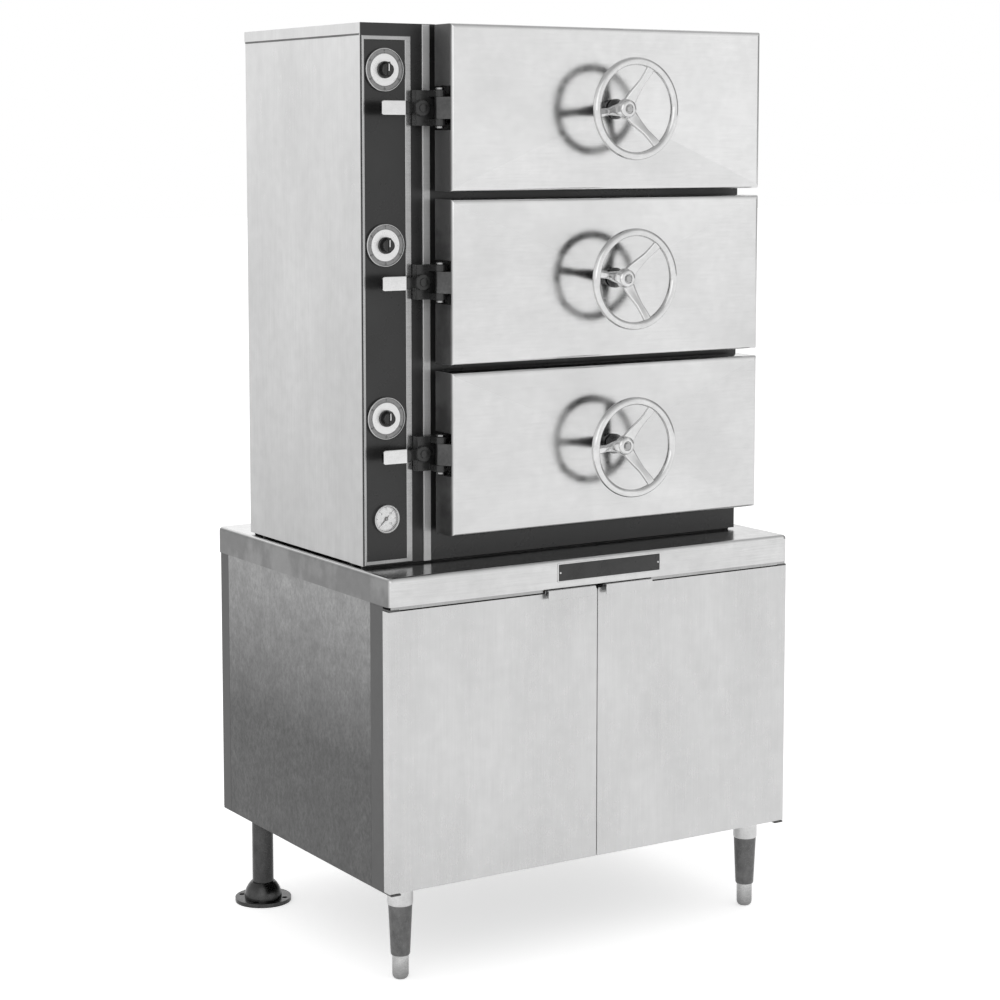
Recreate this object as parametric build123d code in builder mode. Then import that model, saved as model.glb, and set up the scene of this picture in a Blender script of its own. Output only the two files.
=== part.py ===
from build123d import *
import math
import os

# Three-compartment pressure steamer on a cabinet base, in millimetres.
# X = 0 is the middle of the worktop, Y = 0 the middle of the depth from the hand wheel rims
# to the back edge of the worktop, Z = 0 the floor. The front faces -Y.

# Sizes across the front, from left to right. The worktop's width is their sum.
upper_left_inset = 12
column_width = 144.5
door_overhang = 30
chamber_inner_width = 645
door_right_margin = 4.5
upper_right_inset = 48

# Heights, and depths from the worktop's front edge to its back edge
worktop_edge = 53
worktop_corner = 10
worktop_bend = 8
leg_height = 178
base_height = 587
upper_height = 992
fascia_setback = 113
upper_depth = 468
rear_ledge = 124
box_lift = 4

# Sheet gauges and clearances
sheet = 1.5
heavy_sheet = 2.0
fascia_sheet = 3.0
skin_inset = 1.5
seat_gap = 0.3
shaft_gap = 0.05
gear_gap = 2
edge_break = 1

# Compartments
levels = ["lower", "middle", "upper"]
pitch = 316
chamber_inner_height = 250
chamber_wall = 4
chamber_corner = 12
chamber_projection = 25
chamber_back_projection = 30
bearer_height = 21
bearer_width = 40
bearer_wall = 3
bearer_inset = 34
rib_thickness = 20
rib_inset = 46.5

# Pan racks
rack_headroom = 54
rack_front_gap = 30
rack_back_gap = 9
rack_standoff = 9
ledge_start = 30
ledge_reach = 14
ledge_pitch = 62
ledge_count = 3

# Sheets of the upper box
stile_width = 50
cap_flange = 20
back_return = 20
top_back_flange = 15
cover_inset = 25
cover_flange = 15
cover_bottom_gap = 20
cover_top_gap = 16
rear_cover_depth = 46

# Compartment doors
door_height = 302
door_depth = 76
cover_depth = 60
cover_peak = 8
peak_land_width = 60
peak_land_height = 26
notch_half_height = 40
notch_front = 5
hub_hole_gap = 1
hinge_offset = 6.5
hinge_depth = 31
hinge_pin_radius = 5
pin_head_radius = 8
pin_head_height = 5
pin_head_bend = 1.5
knuckle_wall = 5
knuckle_overlap = 6
knuckle_bend = 2.5
ear_wall = 6
ear_reach = 7
bracket_reach = 8
knuckle_half_height = 20
ear_thickness = 12
bracket_height = 64
bracket_clearance = 0.3
bracket_front = 23

# Closing gear inside each door
arm_thickness = 4
arm_height = 64
arm_flange_depth = 17
arm_end_gap = 9.5
arm_bolt_gap = 3
guide_width = 14
guide_setback = 30
guide_spread = 110
skin_to_arm = 3
strut_width = 50
spindle_radius = 8
spindle_boss_radius = 14
spindle_collar = 4
spindle_reach = 9
spindle_hub_reach = 1
cam_radius = 54
cam_thickness = 8
groove_width = 6.4
groove_depth = 5
follower_radius = 3
follower_start = 32
follower_gap = 0.5
cam_gap = 1
bolt_travel = 14
wheel_turns = 1.5
bolt_height = 20
bolt_thickness = 10
bolt_clearance = 0.2
bolt_tail = 8
bolt_nose = 1.5
plate_thickness = 3
plate_travel = 6
plate_boss_radius = 18
plate_boss_depth = 8
plate_boss_wall = 3
plate_dish = 6
dish_margin = 30
dish_taper = 35
gasket_thickness = 9
gasket_width = 14
gasket_overlap = 4
gasket_corner = 4
gasket_lip = 2
keeper_width = 14
keeper_side_gap = 2.5
keeper_gap = 1.5
keeper_wall = 5
keeper_height = 40
keeper_foot_height = 68
keeper_foot = 6
window_gap = 0.5

# Hand wheels
wheel_standoff = 84
wheel_radius = 95
rim_radius = 6
hub_radius = 19
hub_flat = 5
hub_dome = 26
hub_gap = 3
hub_front = 27
hub_waist = 6
hub_foot = 4
hub_foot_length = 12
hub_cap = 8
spoke_count = 3
spoke_hub_width = 22
spoke_rim_width = 15
spoke_thickness = 6
spoke_edge = 2
spoke_root_depth = 13
spoke_overlap = 7
spoke_thinning = 1
spoke_rim_gap = 1
wheel_angles = {"lower": -60, "middle": 51, "upper": -54}

# Control column
panel_inner_left = 5.5
panel_inner_width = 84
panel_sheet = 2
trim_left = 4.5
trim_right = 12
trim_bar = 8
trim_thickness = 4
panel_bottom_margin = 14
panel_top_margin = 31
dial_rise = 68
dial_shift = 2
bezel_radius = 39
bezel_thickness = 4
timer_body_size = 50
timer_body_depth = 28
bushing_radius = 6
bushing_gap = 0.5
fascia_hole_gap = 1
timer_shaft_radius = 3
timer_shaft_length = 12
knob_radius = 15
knob_length = 16
knob_skirt = 5
knob_waist = 4
grip_thickness = 5
grip_rise = 1
gauge_drop = 118
gauge_radius = 26
gauge_wall = 2.5
gauge_cup_step = 3
gauge_cup_gap = 1
gauge_depth = 34
gauge_rim = 6
gauge_floor = 1
gauge_stem = 4
gauge_stem_radius = 1.5
needle_length = 18
needle_hub = 3.5
needle_half_width = 1.6
needle_tail = 6
needle_lift = 2
needle_thickness = 1
post_width = 15.5
post_thickness = 3
post_gap = 2.5
lever_inset = 10.5
lever_width = 26
lever_thickness = 6
lever_length = 90
lever_corner = 3
lever_edge = 1.5
lever_hub_radius = 15
lever_boss_radius = 8
lever_boss_rise = 3
lever_shaft_radius = 4
lever_shaft_depth = 28
lever_hole_gap = 2
valve_radius = 18
valve_length = 100
valve_port_radius = 9
valve_port_wall = 2
valve_nut_radius = 14
valve_nut_reach = 30
valve_stem_depth = 30

# Pipes
riser_radius = 13.35
riser_wall = 3
riser_inset = 55
riser_depth = 89
riser_bend = 40
riser_rise = 70
riser_top = 30
riser_hole_gap = 3
pipe_cap = 4
pipe_fit = 0.1
drain_drop = 95
drain_offset = 150
drain_radius = 21
drain_wall = 3
drain_bend = 30
drain_fit = 0.2
drain_top = 60
drain_rise = 70
nipple_radius = 13.35
nipple_wall = 3
nipple_length = 26
nipple_hole_gap = 1.5
socket_wall = 4

# Base cabinet
base_door_setback = 3
frame_inset = 3
front_post_depth = 46
rear_post_depth = 37
post_across = 30
post_drop = 7
post_chamfer = 4
rail_height = 30
top_rail_height = 40
cross_rail_width = 40
side_sheet = 2
side_lip = 15
back_sheet = 1
back_sheet_drop = 3
back_sheet_gap = 0.5
louvre_width = 130
louvre_slot = 7
louvre_columns = 4
louvre_rows = 4
louvre_spacing = 190
louvre_pitch = 24
louvre_spread = 300
base_door_thickness = 25
base_door_gap = 8.5
base_door_split = 3
base_door_inset = 1
base_pivot_inset = 10
base_pivot_depth = 18
base_pin_radius = 4
base_pin_depth = 10
edge_round_gap = 0.1
lug_thickness = 3
lug_clearance = 0.5
lug_inner = 12
lug_outer = 8
lug_front = 9
lug_back = 5
pull_width = 107
pull_start = 12
pull_reach = 12
pull_rise = 7
pull_drop = 19
leg_inset_x = 54
leg_inset_y = 58
rear_leg_inset_x = 45
rear_leg_inset_y = 98
collar_radius = 24
collar_height = 36
leg_top_radius = 22.5
leg_bottom_radius = 18
foot_radius = 15.5
foot_height = 46
foot_tip_radius = 8
foot_tip_height = 10
foot_stem_radius = 6
foot_stem_length = 40
foot_hole_depth = 50
stud_radius = 8
stud_length = 20
stud_gap = 0.2
stud_end_gap = 1
gusset = 6
gusset_width = 97
front_gusset_depth = 85
rear_gusset_depth = 140
rear_pipe_radius = 21.5
flange_radius = 57
flange_thickness = 8
flange_cone_height = 40
flange_land = 19
flange_weld = 3
flange_sweep = 45
flange_bolt_circle = 46
flange_bolt_radius = 5.5

# Boiler in the base
boiler_radius = 165
boiler_length = 560
boiler_wall = 6
boiler_dish = 50
boiler_x = 20
boiler_y = 70
boiler_z = 400
saddle_spread = 360
saddle_thickness = 14
saddle_half_width = 110
saddle_fit = 0.2
nozzle_inset = 60
nozzle_rise = 30
nozzle_wall = 5
feed_offset = 60
feed_radius = 10.65
feed_bore = 8
feed_bore_length = 40
feed_inner_bore = 6
feed_hole_gap = 2
safety_offset = 120
safety_stub_radius = 14
safety_stub_bore = 7
safety_stub_rise = 20

# Safety valve
safety_base_radius = 16
safety_base_height = 14
safety_body_radius = 13
safety_height = 70
safety_fork_height = 22
safety_outlet_radius = 9
safety_outlet_rise = 30
safety_outlet_reach = 30
fork_thickness = 4
fork_gap = 10
fork_reach = 10
fork_front = 4
fork_pin_radius = 2
fork_pin_drop = 8
try_lever_radius = 5
try_lever_length = 59
try_lever_width = 8
try_lever_thickness = 3
try_lever_rise = 1

# Places worked out from the sizes above
door_width = chamber_inner_width + 2 * door_overhang
worktop_width = upper_left_inset + column_width + door_width + door_right_margin + upper_right_inset
worktop_depth = fascia_setback + upper_depth + rear_ledge
front_overhang = door_depth + wheel_standoff - fascia_setback
front_y = -(worktop_depth + front_overhang) / 2 + front_overhang
back_y = front_y + worktop_depth
half_width = worktop_width / 2
worktop_top = leg_height + base_height
worktop_under = worktop_top - heavy_sheet
edge_bottom = worktop_top - worktop_edge
top_z = worktop_top + upper_height
box_left = -half_width + upper_left_inset
box_right = half_width - upper_right_inset
fascia_y = front_y + fascia_setback
fascia_back = fascia_y + fascia_sheet
box_back = fascia_y + upper_depth
box_bottom = worktop_top + box_lift

chamber_width = chamber_inner_width + 2 * chamber_wall
chamber_height = chamber_inner_height + 2 * chamber_wall
rib_height = pitch - chamber_height
chamber_front = fascia_y - chamber_projection
chamber_back = box_back + chamber_back_projection
first_centre = worktop_top + bearer_height + rib_height + chamber_height / 2
centre_z = {level: first_centre + pitch * i for i, level in enumerate(levels)}

door_right = box_right - door_right_margin
door_left = door_right - door_width
door_x = (door_left + door_right) / 2
door_face = fascia_y - door_depth
cover_back = door_face + cover_depth
pivot_x = door_left - hinge_offset
pivot_y = door_face + hinge_depth

arm_front = door_face + skin_to_arm
arm_back = arm_front + arm_thickness
bolt_front = arm_back + gear_gap
bolt_back = bolt_front + bolt_thickness
cam_front = bolt_back + gear_gap
cam_back = cam_front + cam_thickness
gasket_back = chamber_front - seat_gap - plate_travel
plate_back = gasket_back - gasket_thickness
plate_front = plate_back - plate_thickness
plate_width = chamber_width + 2 * gasket_overlap
plate_height = chamber_height + 2 * gasket_overlap
keeper_left = door_x + plate_width / 2 + keeper_side_gap
bolt_tip = keeper_left - keeper_gap
spindle_tip = plate_back + spindle_reach
wheel_front = door_face - wheel_standoff

panel_left = box_left + panel_inner_left
panel_right = panel_left + panel_inner_width
dial_x = (panel_left + panel_right) / 2 - dial_shift
panel_bottom = worktop_top + panel_bottom_margin
panel_top = top_z - panel_top_margin
post_left = door_left - post_gap - post_width
bracket_left = panel_right + trim_right + bracket_clearance
bracket_right = pivot_x + bracket_reach
lever_x = bracket_left + lever_inset
lever_back = fascia_y - bracket_front - seat_gap
riser_x = -half_width + riser_inset
riser_y = fascia_y + riser_depth
drain_x = door_x + drain_offset

base_door_face = front_y + base_door_setback
frame_front = base_door_face + base_door_thickness
frame_back = back_y - frame_inset
frame_half = half_width - frame_inset
base_door_bottom = leg_height + lug_thickness + lug_clearance
base_door_top = edge_bottom - base_door_gap


def upright(y, x=0, z=0):
    """Plane across the object at depth y: local x is X, local y is Z, normal towards the front."""
    return Plane(origin=(x, y, z), x_dir=(1, 0, 0), z_dir=(0, -1, 0))


def block(x, y, z, mode=Mode.ADD):
    """Box that spans the ranges x, y and z, added to the part being built."""
    with Locations(((x[0] + x[1]) / 2, (y[0] + y[1]) / 2, (z[0] + z[1]) / 2)):
        Box(x[1] - x[0], y[1] - y[0], z[1] - z[0], mode=mode)


def rod_y(x, y, z, radius, mode=Mode.ADD):
    """Round bar along Y at (x, z) that spans the range y."""
    with Locations(Location((x, (y[0] + y[1]) / 2, z), (90, 0, 0))):
        Cylinder(radius, y[1] - y[0], mode=mode)


def rod_x(x, y, z, radius, mode=Mode.ADD):
    """Round bar along X at (y, z) that spans the range x."""
    with Locations(Location(((x[0] + x[1]) / 2, y, z), (0, 90, 0))):
        Cylinder(radius, x[1] - x[0], mode=mode)


def rod_z(x, y, z, radius, mode=Mode.ADD):
    """Round bar along Z at (x, y) that spans the range z."""
    with Locations((x, y, (z[0] + z[1]) / 2)):
        Cylinder(radius, z[1] - z[0], mode=mode)


os.makedirs("parts", exist_ok=True)

# Lines under the compartments where their ribs, the bearers and the frame rails stand
rib_lines = (fascia_y + bearer_inset, box_back - bearer_inset)

# Welded base frame: four posts, top and bottom rails, boiler saddles, leg gussets, door lugs
post_inner = frame_half - post_across
post_top = worktop_under - post_drop
front_post_back = frame_front + front_post_depth
rear_post_front = frame_back - rear_post_depth
rail_outer = frame_half - side_sheet
top_rail_outer = frame_half - post_drop
low_rail = (leg_height, leg_height + rail_height)
high_rail = (worktop_under - top_rail_height, worktop_under)
pivot_base_x = half_width - base_door_inset - base_pivot_inset
pivot_base_y = frame_front - seat_gap - base_pivot_depth
top_lug = base_door_top + lug_clearance
with BuildPart() as base_frame:
    for side in (-1, 1):
        across = sorted((side * post_inner, side * frame_half))
        block(across, (frame_front, front_post_back), (leg_height, post_top))
        block(across, (rear_post_front, frame_back), (leg_height, post_top))
        rear_corner = base_frame.edges().filter_by(Axis.Z).group_by(Axis.Y)[-1]
        chamfer(rear_corner.sort_by(Axis.X)[-1 if side > 0 else 0], length=post_chamfer)
        low_across = sorted((side * post_inner, side * rail_outer))
        high_across = sorted((side * (post_inner - post_drop), side * top_rail_outer))
        block(low_across, (front_post_back, rear_post_front), low_rail)
        block(high_across, (frame_front, frame_back - post_drop), high_rail)
        saddle_x = boiler_x + side * saddle_spread / 2
        cross_rail = (saddle_x - cross_rail_width / 2, saddle_x + cross_rail_width / 2)
        block(cross_rail, (frame_front, frame_back), low_rail)
        saddle = (saddle_x - saddle_thickness / 2, saddle_x + saddle_thickness / 2)
        saddle_y = (boiler_y - saddle_half_width, boiler_y + saddle_half_width)
        block(saddle, saddle_y, (leg_height, boiler_z - boiler_radius / 2))
        gusset_across = sorted((side * (half_width - gusset_width), side * rail_outer))
        gusset_z = (leg_height, leg_height + gusset)
        block(gusset_across, (frame_front, frame_front + front_gusset_depth), gusset_z)
        block(gusset_across, (frame_back - rear_gusset_depth, frame_back), gusset_z)
        lug_across = sorted((side * (pivot_base_x - lug_inner), side * (pivot_base_x + lug_outer)))
        lug_y = (pivot_base_y - lug_front, frame_front + lug_back)
        block(lug_across, lug_y, (leg_height, leg_height + lug_thickness))
        block(lug_across, lug_y, (top_lug, top_lug + lug_thickness))
    block((-post_inner, post_inner), (frame_front, frame_front + rail_height), low_rail)
    block((-post_inner, post_inner), (frame_back - rail_height, frame_back), low_rail)
    block((-post_inner, post_inner), (frame_front, frame_front + rail_height), high_rail)
    high_back = frame_back - post_drop
    block((-post_inner, post_inner), (high_back - rail_height, high_back), high_rail)
    for rib_y in rib_lines:
        block((-post_inner, post_inner), (rib_y - rail_height / 2, rib_y + rail_height / 2), high_rail)
    rod_x((-half_width, half_width), boiler_y, boiler_z, boiler_radius + saddle_fit, Mode.SUBTRACT)
    for side in (-1, 1):
        front_leg = (side * (half_width - leg_inset_x), front_y + leg_inset_y)
        rear_leg = (side * (half_width - rear_leg_inset_x), back_y - rear_leg_inset_y)
        stud_hole = (leg_height, leg_height + stud_length + stud_end_gap)
        rod_z(*front_leg, stud_hole, stud_radius + stud_gap, Mode.SUBTRACT)
        rod_z(*rear_leg, stud_hole, stud_radius + stud_gap, Mode.SUBTRACT)
        pin_hole = (leg_height, top_lug + lug_thickness)
        rod_z(side * pivot_base_x, pivot_base_y, pin_hole, base_pin_radius + shaft_gap, Mode.SUBTRACT)
base_frame.part.label = "base_frame"
export_step(base_frame.part, "parts/base_frame.step")

# Side panels of the base, let in between the posts, with a return along each upright edge
with BuildPart() as base_side_panels:
    for side in (-1, 1):
        skin = sorted((side * (frame_half - side_sheet), side * frame_half))
        panel_y = (front_post_back + seat_gap, rear_post_front - seat_gap)
        block(skin, panel_y, (leg_height, edge_bottom - seat_gap))
        lip = sorted((side * (frame_half - side_lip), side * (frame_half - side_sheet)))
        lip_z = (low_rail[1] + seat_gap, high_rail[0] - seat_gap)
        block(lip, (panel_y[0], panel_y[0] + sheet), lip_z)
        block(lip, (panel_y[1] - sheet, panel_y[1]), lip_z)
base_side_panels.part.label = "base_side_panels"
export_step(base_side_panels.part, "parts/base_side_panels.step")

# Louvred back panel of the base with a hole for the feed pipe
feed_x = boiler_x + feed_offset
back_half = frame_half - side_sheet
with BuildPart() as base_back_panel:
    back_y_span = (frame_back, frame_back + back_sheet)
    back_z = (leg_height + back_sheet_drop, edge_bottom - back_sheet_gap)
    block((-back_half, back_half), back_y_span, back_z)
    with BuildSketch(upright(frame_back + back_sheet)):
        with Locations((0, (back_z[0] + back_z[1]) / 2)):
            with GridLocations(louvre_spacing, louvre_spread, louvre_columns, 2):
                with GridLocations(louvre_spacing, louvre_pitch, 1, louvre_rows):
                    SlotOverall(louvre_width, louvre_slot)
    extrude(amount=back_sheet, mode=Mode.SUBTRACT)
    rod_y(feed_x, back_y_span, boiler_z, feed_radius + feed_hole_gap, Mode.SUBTRACT)
base_back_panel.part.label = "base_back_panel"
export_step(base_back_panel.part, "parts/base_back_panel.step")

# Worktop: one folded sheet with a rounded upper edge and welded corners
with BuildPart() as worktop:
    with BuildSketch(Plane.XY.offset(edge_bottom)):
        with Locations((0, (front_y + back_y) / 2)):
            Rectangle(worktop_width, worktop_depth)
    extrude(amount=worktop_edge)
    fillet(worktop.edges().filter_by(Axis.Z), radius=worktop_corner)
    fillet(worktop.faces().sort_by(Axis.Z)[-1].edges(), radius=worktop_bend)
    offset(amount=-heavy_sheet, openings=worktop.faces().sort_by(Axis.Z)[0])
    rod_z(riser_x, riser_y, (worktop_under, worktop_top), riser_radius + riser_hole_gap, Mode.SUBTRACT)
worktop.part.label = "worktop"
export_step(worktop.part, "parts/worktop.step")

# Front legs: bright collar over a tapered socket, with a stud into the frame gusset
with BuildPart() as front_legs:
    for side in (-1, 1):
        leg_at = (side * (half_width - leg_inset_x), front_y + leg_inset_y)
        with BuildSketch(upright(leg_at[1], leg_at[0])):
            with BuildLine():
                Polyline(
                    (foot_stem_radius + shaft_gap, foot_height),
                    (leg_bottom_radius, foot_height),
                    (leg_top_radius, leg_height - collar_height),
                    (collar_radius, leg_height - collar_height),
                    (collar_radius, leg_height),
                    (stud_radius, leg_height),
                    (stud_radius, leg_height + stud_length),
                    (0, leg_height + stud_length),
                    (0, foot_height + foot_hole_depth),
                    (foot_stem_radius + shaft_gap, foot_height + foot_hole_depth),
                    close=True,
                )
            make_face()
        revolve(axis=Axis((leg_at[0], leg_at[1], 0), (0, 0, 1)))
front_legs.part.label = "front_legs"
export_step(front_legs.part, "parts/front_legs.step")

# Bullet feet: rounded tip, plain stem screwed up into the leg
with BuildPart() as bullet_feet:
    for side in (-1, 1):
        leg_at = (side * (half_width - leg_inset_x), front_y + leg_inset_y)
        with BuildSketch(upright(leg_at[1], leg_at[0])):
            with BuildLine():
                Line((0, 0), (foot_tip_radius, 0))
                EllipticalCenterArc(
                    (foot_tip_radius, foot_tip_height),
                    foot_radius - foot_tip_radius,
                    foot_tip_height,
                    start_angle=270,
                    arc_size=90,
                )
                Polyline(
                    (foot_radius, foot_tip_height),
                    (foot_radius, foot_height - seat_gap),
                    (foot_stem_radius, foot_height - seat_gap),
                    (foot_stem_radius, foot_height + foot_stem_length),
                    (0, foot_height + foot_stem_length),
                    (0, 0),
                )
            make_face()
        revolve(axis=Axis((leg_at[0], leg_at[1], 0), (0, 0, 1)))
bullet_feet.part.label = "bullet_feet"
export_step(bullet_feet.part, "parts/bullet_feet.step")

# Rear legs: pipe welded to a belled floor flange with four bolt holes
with BuildPart() as rear_legs:
    for side in (-1, 1):
        leg_at = (side * (half_width - rear_leg_inset_x), back_y - rear_leg_inset_y)
        with BuildSketch(upright(leg_at[1], leg_at[0])):
            with BuildLine():
                Polyline(
                    (0, leg_height + stud_length),
                    (0, 0),
                    (flange_radius, 0),
                    (flange_radius, flange_thickness),
                    (flange_radius - flange_land, flange_thickness),
                )
                RadiusArc(
                    (flange_radius - flange_land, flange_thickness),
                    (rear_pipe_radius + flange_weld, flange_cone_height),
                    -flange_sweep,
                )
                Polyline(
                    (rear_pipe_radius + flange_weld, flange_cone_height),
                    (rear_pipe_radius, flange_cone_height),
                    (rear_pipe_radius, leg_height),
                    (stud_radius, leg_height),
                    (stud_radius, leg_height + stud_length),
                    (0, leg_height + stud_length),
                )
            make_face()
        revolve(axis=Axis((leg_at[0], leg_at[1], 0), (0, 0, 1)))
        with Locations((leg_at[0], leg_at[1], flange_thickness)):
            with PolarLocations(flange_bolt_circle, 4, start_angle=45):
                Hole(flange_bolt_radius, depth=flange_thickness)
rear_legs.part.label = "rear_legs"
export_step(rear_legs.part, "parts/rear_legs.step")

# Two channel bearers that lift the compartments off the worktop
with BuildPart() as plinth_bearers:
    for rib_y in rib_lines:
        bearer_y = (rib_y - bearer_width / 2, rib_y + bearer_width / 2)
        across = (box_left + skin_inset + sheet, box_right - skin_inset - sheet)
        block(across, bearer_y, (worktop_top, worktop_top + bearer_height))
        hollow_y = (bearer_y[0] + bearer_wall, bearer_y[1] - bearer_wall)
        hollow_z = (worktop_top, worktop_top + bearer_height - bearer_wall)
        block(across, hollow_y, hollow_z, Mode.SUBTRACT)
plinth_bearers.part.label = "plinth_bearers"
export_step(plinth_bearers.part, "parts/plinth_bearers.step")

# Side panels of the upper box: hemmed front stile standing proud, return along the back edge
with BuildPart() as upper_side_panels:
    for edge, side in ((box_left, 1), (box_right, -1)):
        skin = sorted((edge + side * skin_inset, edge + side * (skin_inset + sheet)))
        side_z = (box_bottom, top_z - sheet)
        block(skin, (fascia_back, box_back), side_z)
        stile = sorted((edge, edge + side * skin_inset))
        block(stile, (fascia_back, fascia_back + stile_width), (box_bottom, top_z - cap_flange))
        back_lip = sorted((edge + side * (skin_inset + sheet), edge + side * back_return))
        block(back_lip, (box_back - sheet, box_back), side_z)
upper_side_panels.part.label = "upper_side_panels"
export_step(upper_side_panels.part, "parts/upper_side_panels.step")

# Rear cover of the upper box: a flanged tray with a hole for each compartment's drain nipple
with BuildPart() as upper_rear_cover:
    tray_x = (box_left + cover_inset, box_right - cover_inset)
    tray_z = (box_bottom + cover_bottom_gap, top_z - cover_top_gap)
    tray_y = (box_back, box_back + rear_cover_depth)
    block(tray_x, tray_y, tray_z)
    offset(amount=-sheet, openings=upper_rear_cover.faces().sort_by(Axis.Y)[0])
    flange_y = (box_back, box_back + sheet)
    block((tray_x[0] - cover_flange, tray_x[0] + sheet), flange_y, tray_z)
    block((tray_x[1] - sheet, tray_x[1] + cover_flange), flange_y, tray_z)
    for level in levels:
        hole_y = (box_back, tray_y[1])
        hole_z = centre_z[level] - drain_drop
        rod_y(drain_x, hole_y, hole_z, nipple_radius + nipple_hole_gap, Mode.SUBTRACT)
upper_rear_cover.part.label = "upper_rear_cover"
export_step(upper_rear_cover.part, "parts/upper_rear_cover.step")

# Top of the upper box: a sheet with down-turned flanges at the sides and back
with BuildPart() as upper_top:
    block((box_left, box_right), (fascia_back, box_back + sheet), (top_z - sheet, top_z))
    flange_z = (top_z - cap_flange, top_z - sheet)
    block((box_left, box_left + skin_inset), (fascia_back, box_back + sheet), flange_z)
    block((box_right - skin_inset, box_right), (fascia_back, box_back + sheet), flange_z)
    block((box_left, box_right), (box_back, box_back + sheet), (top_z - top_back_flange, top_z - sheet))
upper_top.part.label = "upper_top"
export_step(upper_top.part, "parts/upper_top.step")

# Front fascia: black plate with an opening for each compartment and holes for the controls
with BuildPart() as front_fascia:
    block((box_left, box_right), (fascia_y, fascia_back), (box_bottom, top_z))
    with BuildSketch(upright(fascia_y)):
        for level in levels:
            with Locations((door_x, centre_z[level])):
                opening_gap = 2 * seat_gap
                RectangleRounded(
                    chamber_width + opening_gap, chamber_height + opening_gap, chamber_corner + seat_gap
                )
    extrude(amount=-fascia_sheet, mode=Mode.SUBTRACT)
    for level in levels:
        hole_y = (fascia_y, fascia_back)
        rod_y(dial_x, hole_y, centre_z[level] + dial_rise, bushing_radius + fascia_hole_gap, Mode.SUBTRACT)
        rod_y(lever_x, hole_y, centre_z[level], lever_shaft_radius + lever_hole_gap, Mode.SUBTRACT)
    gauge_hole = gauge_radius - gauge_cup_step + gauge_cup_gap
    rod_y(dial_x, hole_y, centre_z["lower"] - gauge_drop, gauge_hole, Mode.SUBTRACT)
front_fascia.part.label = "front_fascia"
export_step(front_fascia.part, "parts/front_fascia.step")

# Control panel: flat plate on the fascia with holes for the timers and the gauge
panel_y = (fascia_y - panel_sheet, fascia_y)
with BuildPart() as control_panel:
    block((panel_left, panel_right), panel_y, (panel_bottom, panel_top))
    for level in levels:
        rod_y(dial_x, panel_y, centre_z[level] + dial_rise, bushing_radius + bushing_gap, Mode.SUBTRACT)
    rod_y(dial_x, panel_y, centre_z["lower"] - gauge_drop, gauge_hole - bushing_gap, Mode.SUBTRACT)
control_panel.part.label = "control_panel"
export_step(control_panel.part, "parts/control_panel.step")

# Bright trim frame around the control panel
with BuildPart() as panel_trim:
    trim_y = (fascia_y - trim_thickness, fascia_y)
    outer_x = (panel_left - trim_left, panel_right + trim_right)
    block(outer_x, trim_y, (panel_bottom - trim_bar, panel_top + trim_bar))
    block((panel_left, panel_right), trim_y, (panel_bottom, panel_top), Mode.SUBTRACT)
    chamfer(panel_trim.faces().sort_by(Axis.Y)[0].edges(), length=edge_break)
panel_trim.part.label = "panel_trim"
export_step(panel_trim.part, "parts/panel_trim.step")

# Bright post beside the doors, full height
with BuildPart() as hinge_post:
    post_x = (post_left, post_left + post_width)
    block(post_x, (fascia_y - post_thickness, fascia_y), (box_bottom, top_z - edge_break))
    chamfer(hinge_post.faces().sort_by(Axis.Y)[0].edges().filter_by(Axis.Z), length=edge_break)
hinge_post.part.label = "hinge_post"
export_step(hinge_post.part, "parts/hinge_post.step")

# Compartments: drawn box open at the front, standing on two ribs, drain nipple at the back
for level in levels:
    zc = centre_z[level]
    with BuildPart() as chamber:
        with BuildSketch(upright(chamber_front)):
            with Locations((door_x, zc)):
                RectangleRounded(chamber_width, chamber_height, chamber_corner)
        extrude(amount=-(chamber_back - chamber_front))
        for rib_y in rib_lines:
            rib_z = (zc - chamber_height / 2 - rib_height, zc - chamber_height / 2 + chamber_wall / 2)
            rib_y_span = (rib_y - rib_thickness / 2, rib_y + rib_thickness / 2)
            half_rib = chamber_width / 2 - rib_inset
            block((door_x - half_rib, door_x + half_rib), rib_y_span, rib_z)
        nipple_y = (chamber_back - chamber_wall / 2, chamber_back + nipple_length)
        rod_y(drain_x, nipple_y, zc - drain_drop, nipple_radius)
        with BuildSketch(upright(chamber_front)):
            with Locations((door_x, zc)):
                RectangleRounded(
                    chamber_inner_width, chamber_inner_height, chamber_corner - chamber_wall
                )
        extrude(amount=-(chamber_back - chamber_front - chamber_wall), mode=Mode.SUBTRACT)
        bore_y = (chamber_back - 2 * chamber_wall, chamber_back + nipple_length)
        rod_y(drain_x, bore_y, zc - drain_drop, nipple_radius - nipple_wall, Mode.SUBTRACT)
        wall_x = (door_x - chamber_width / 2, door_x - chamber_inner_width / 2)
        rod_x(wall_x, riser_y, zc, valve_port_radius - valve_port_wall, Mode.SUBTRACT)
    chamber.part.label = f"chamber_{level}"
    export_step(chamber.part, f"parts/chamber_{level}.step")

# Pan racks: a pair of pressed side racks with three ledges in each compartment
rack_height = chamber_inner_height - rack_headroom
rack_y = (chamber_front + rack_front_gap, chamber_back - chamber_wall - rack_back_gap)
with BuildPart() as pan_racks:
    for level in levels:
        floor_z = centre_z[level] - chamber_inner_height / 2
        for side in (-1, 1):
            wall = door_x + side * (chamber_inner_width / 2 - rack_standoff)
            web = sorted((wall, wall - side * sheet))
            block(web, rack_y, (floor_z, floor_z + rack_height))
            for i in range(ledge_count):
                ledge_z = floor_z + ledge_start + i * ledge_pitch
                ledge = sorted((wall - side * sheet, wall - side * ledge_reach))
                block(ledge, rack_y, (ledge_z, ledge_z + sheet))
            foot = sorted((wall, wall - side * ledge_reach))
            block(foot, rack_y, (floor_z, floor_z + sheet))
            stay = sorted((wall, wall + side * rack_standoff))
            block(stay, rack_y, (floor_z + rack_height - sheet, floor_z + rack_height))
pan_racks.part.label = "pan_racks"
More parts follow.
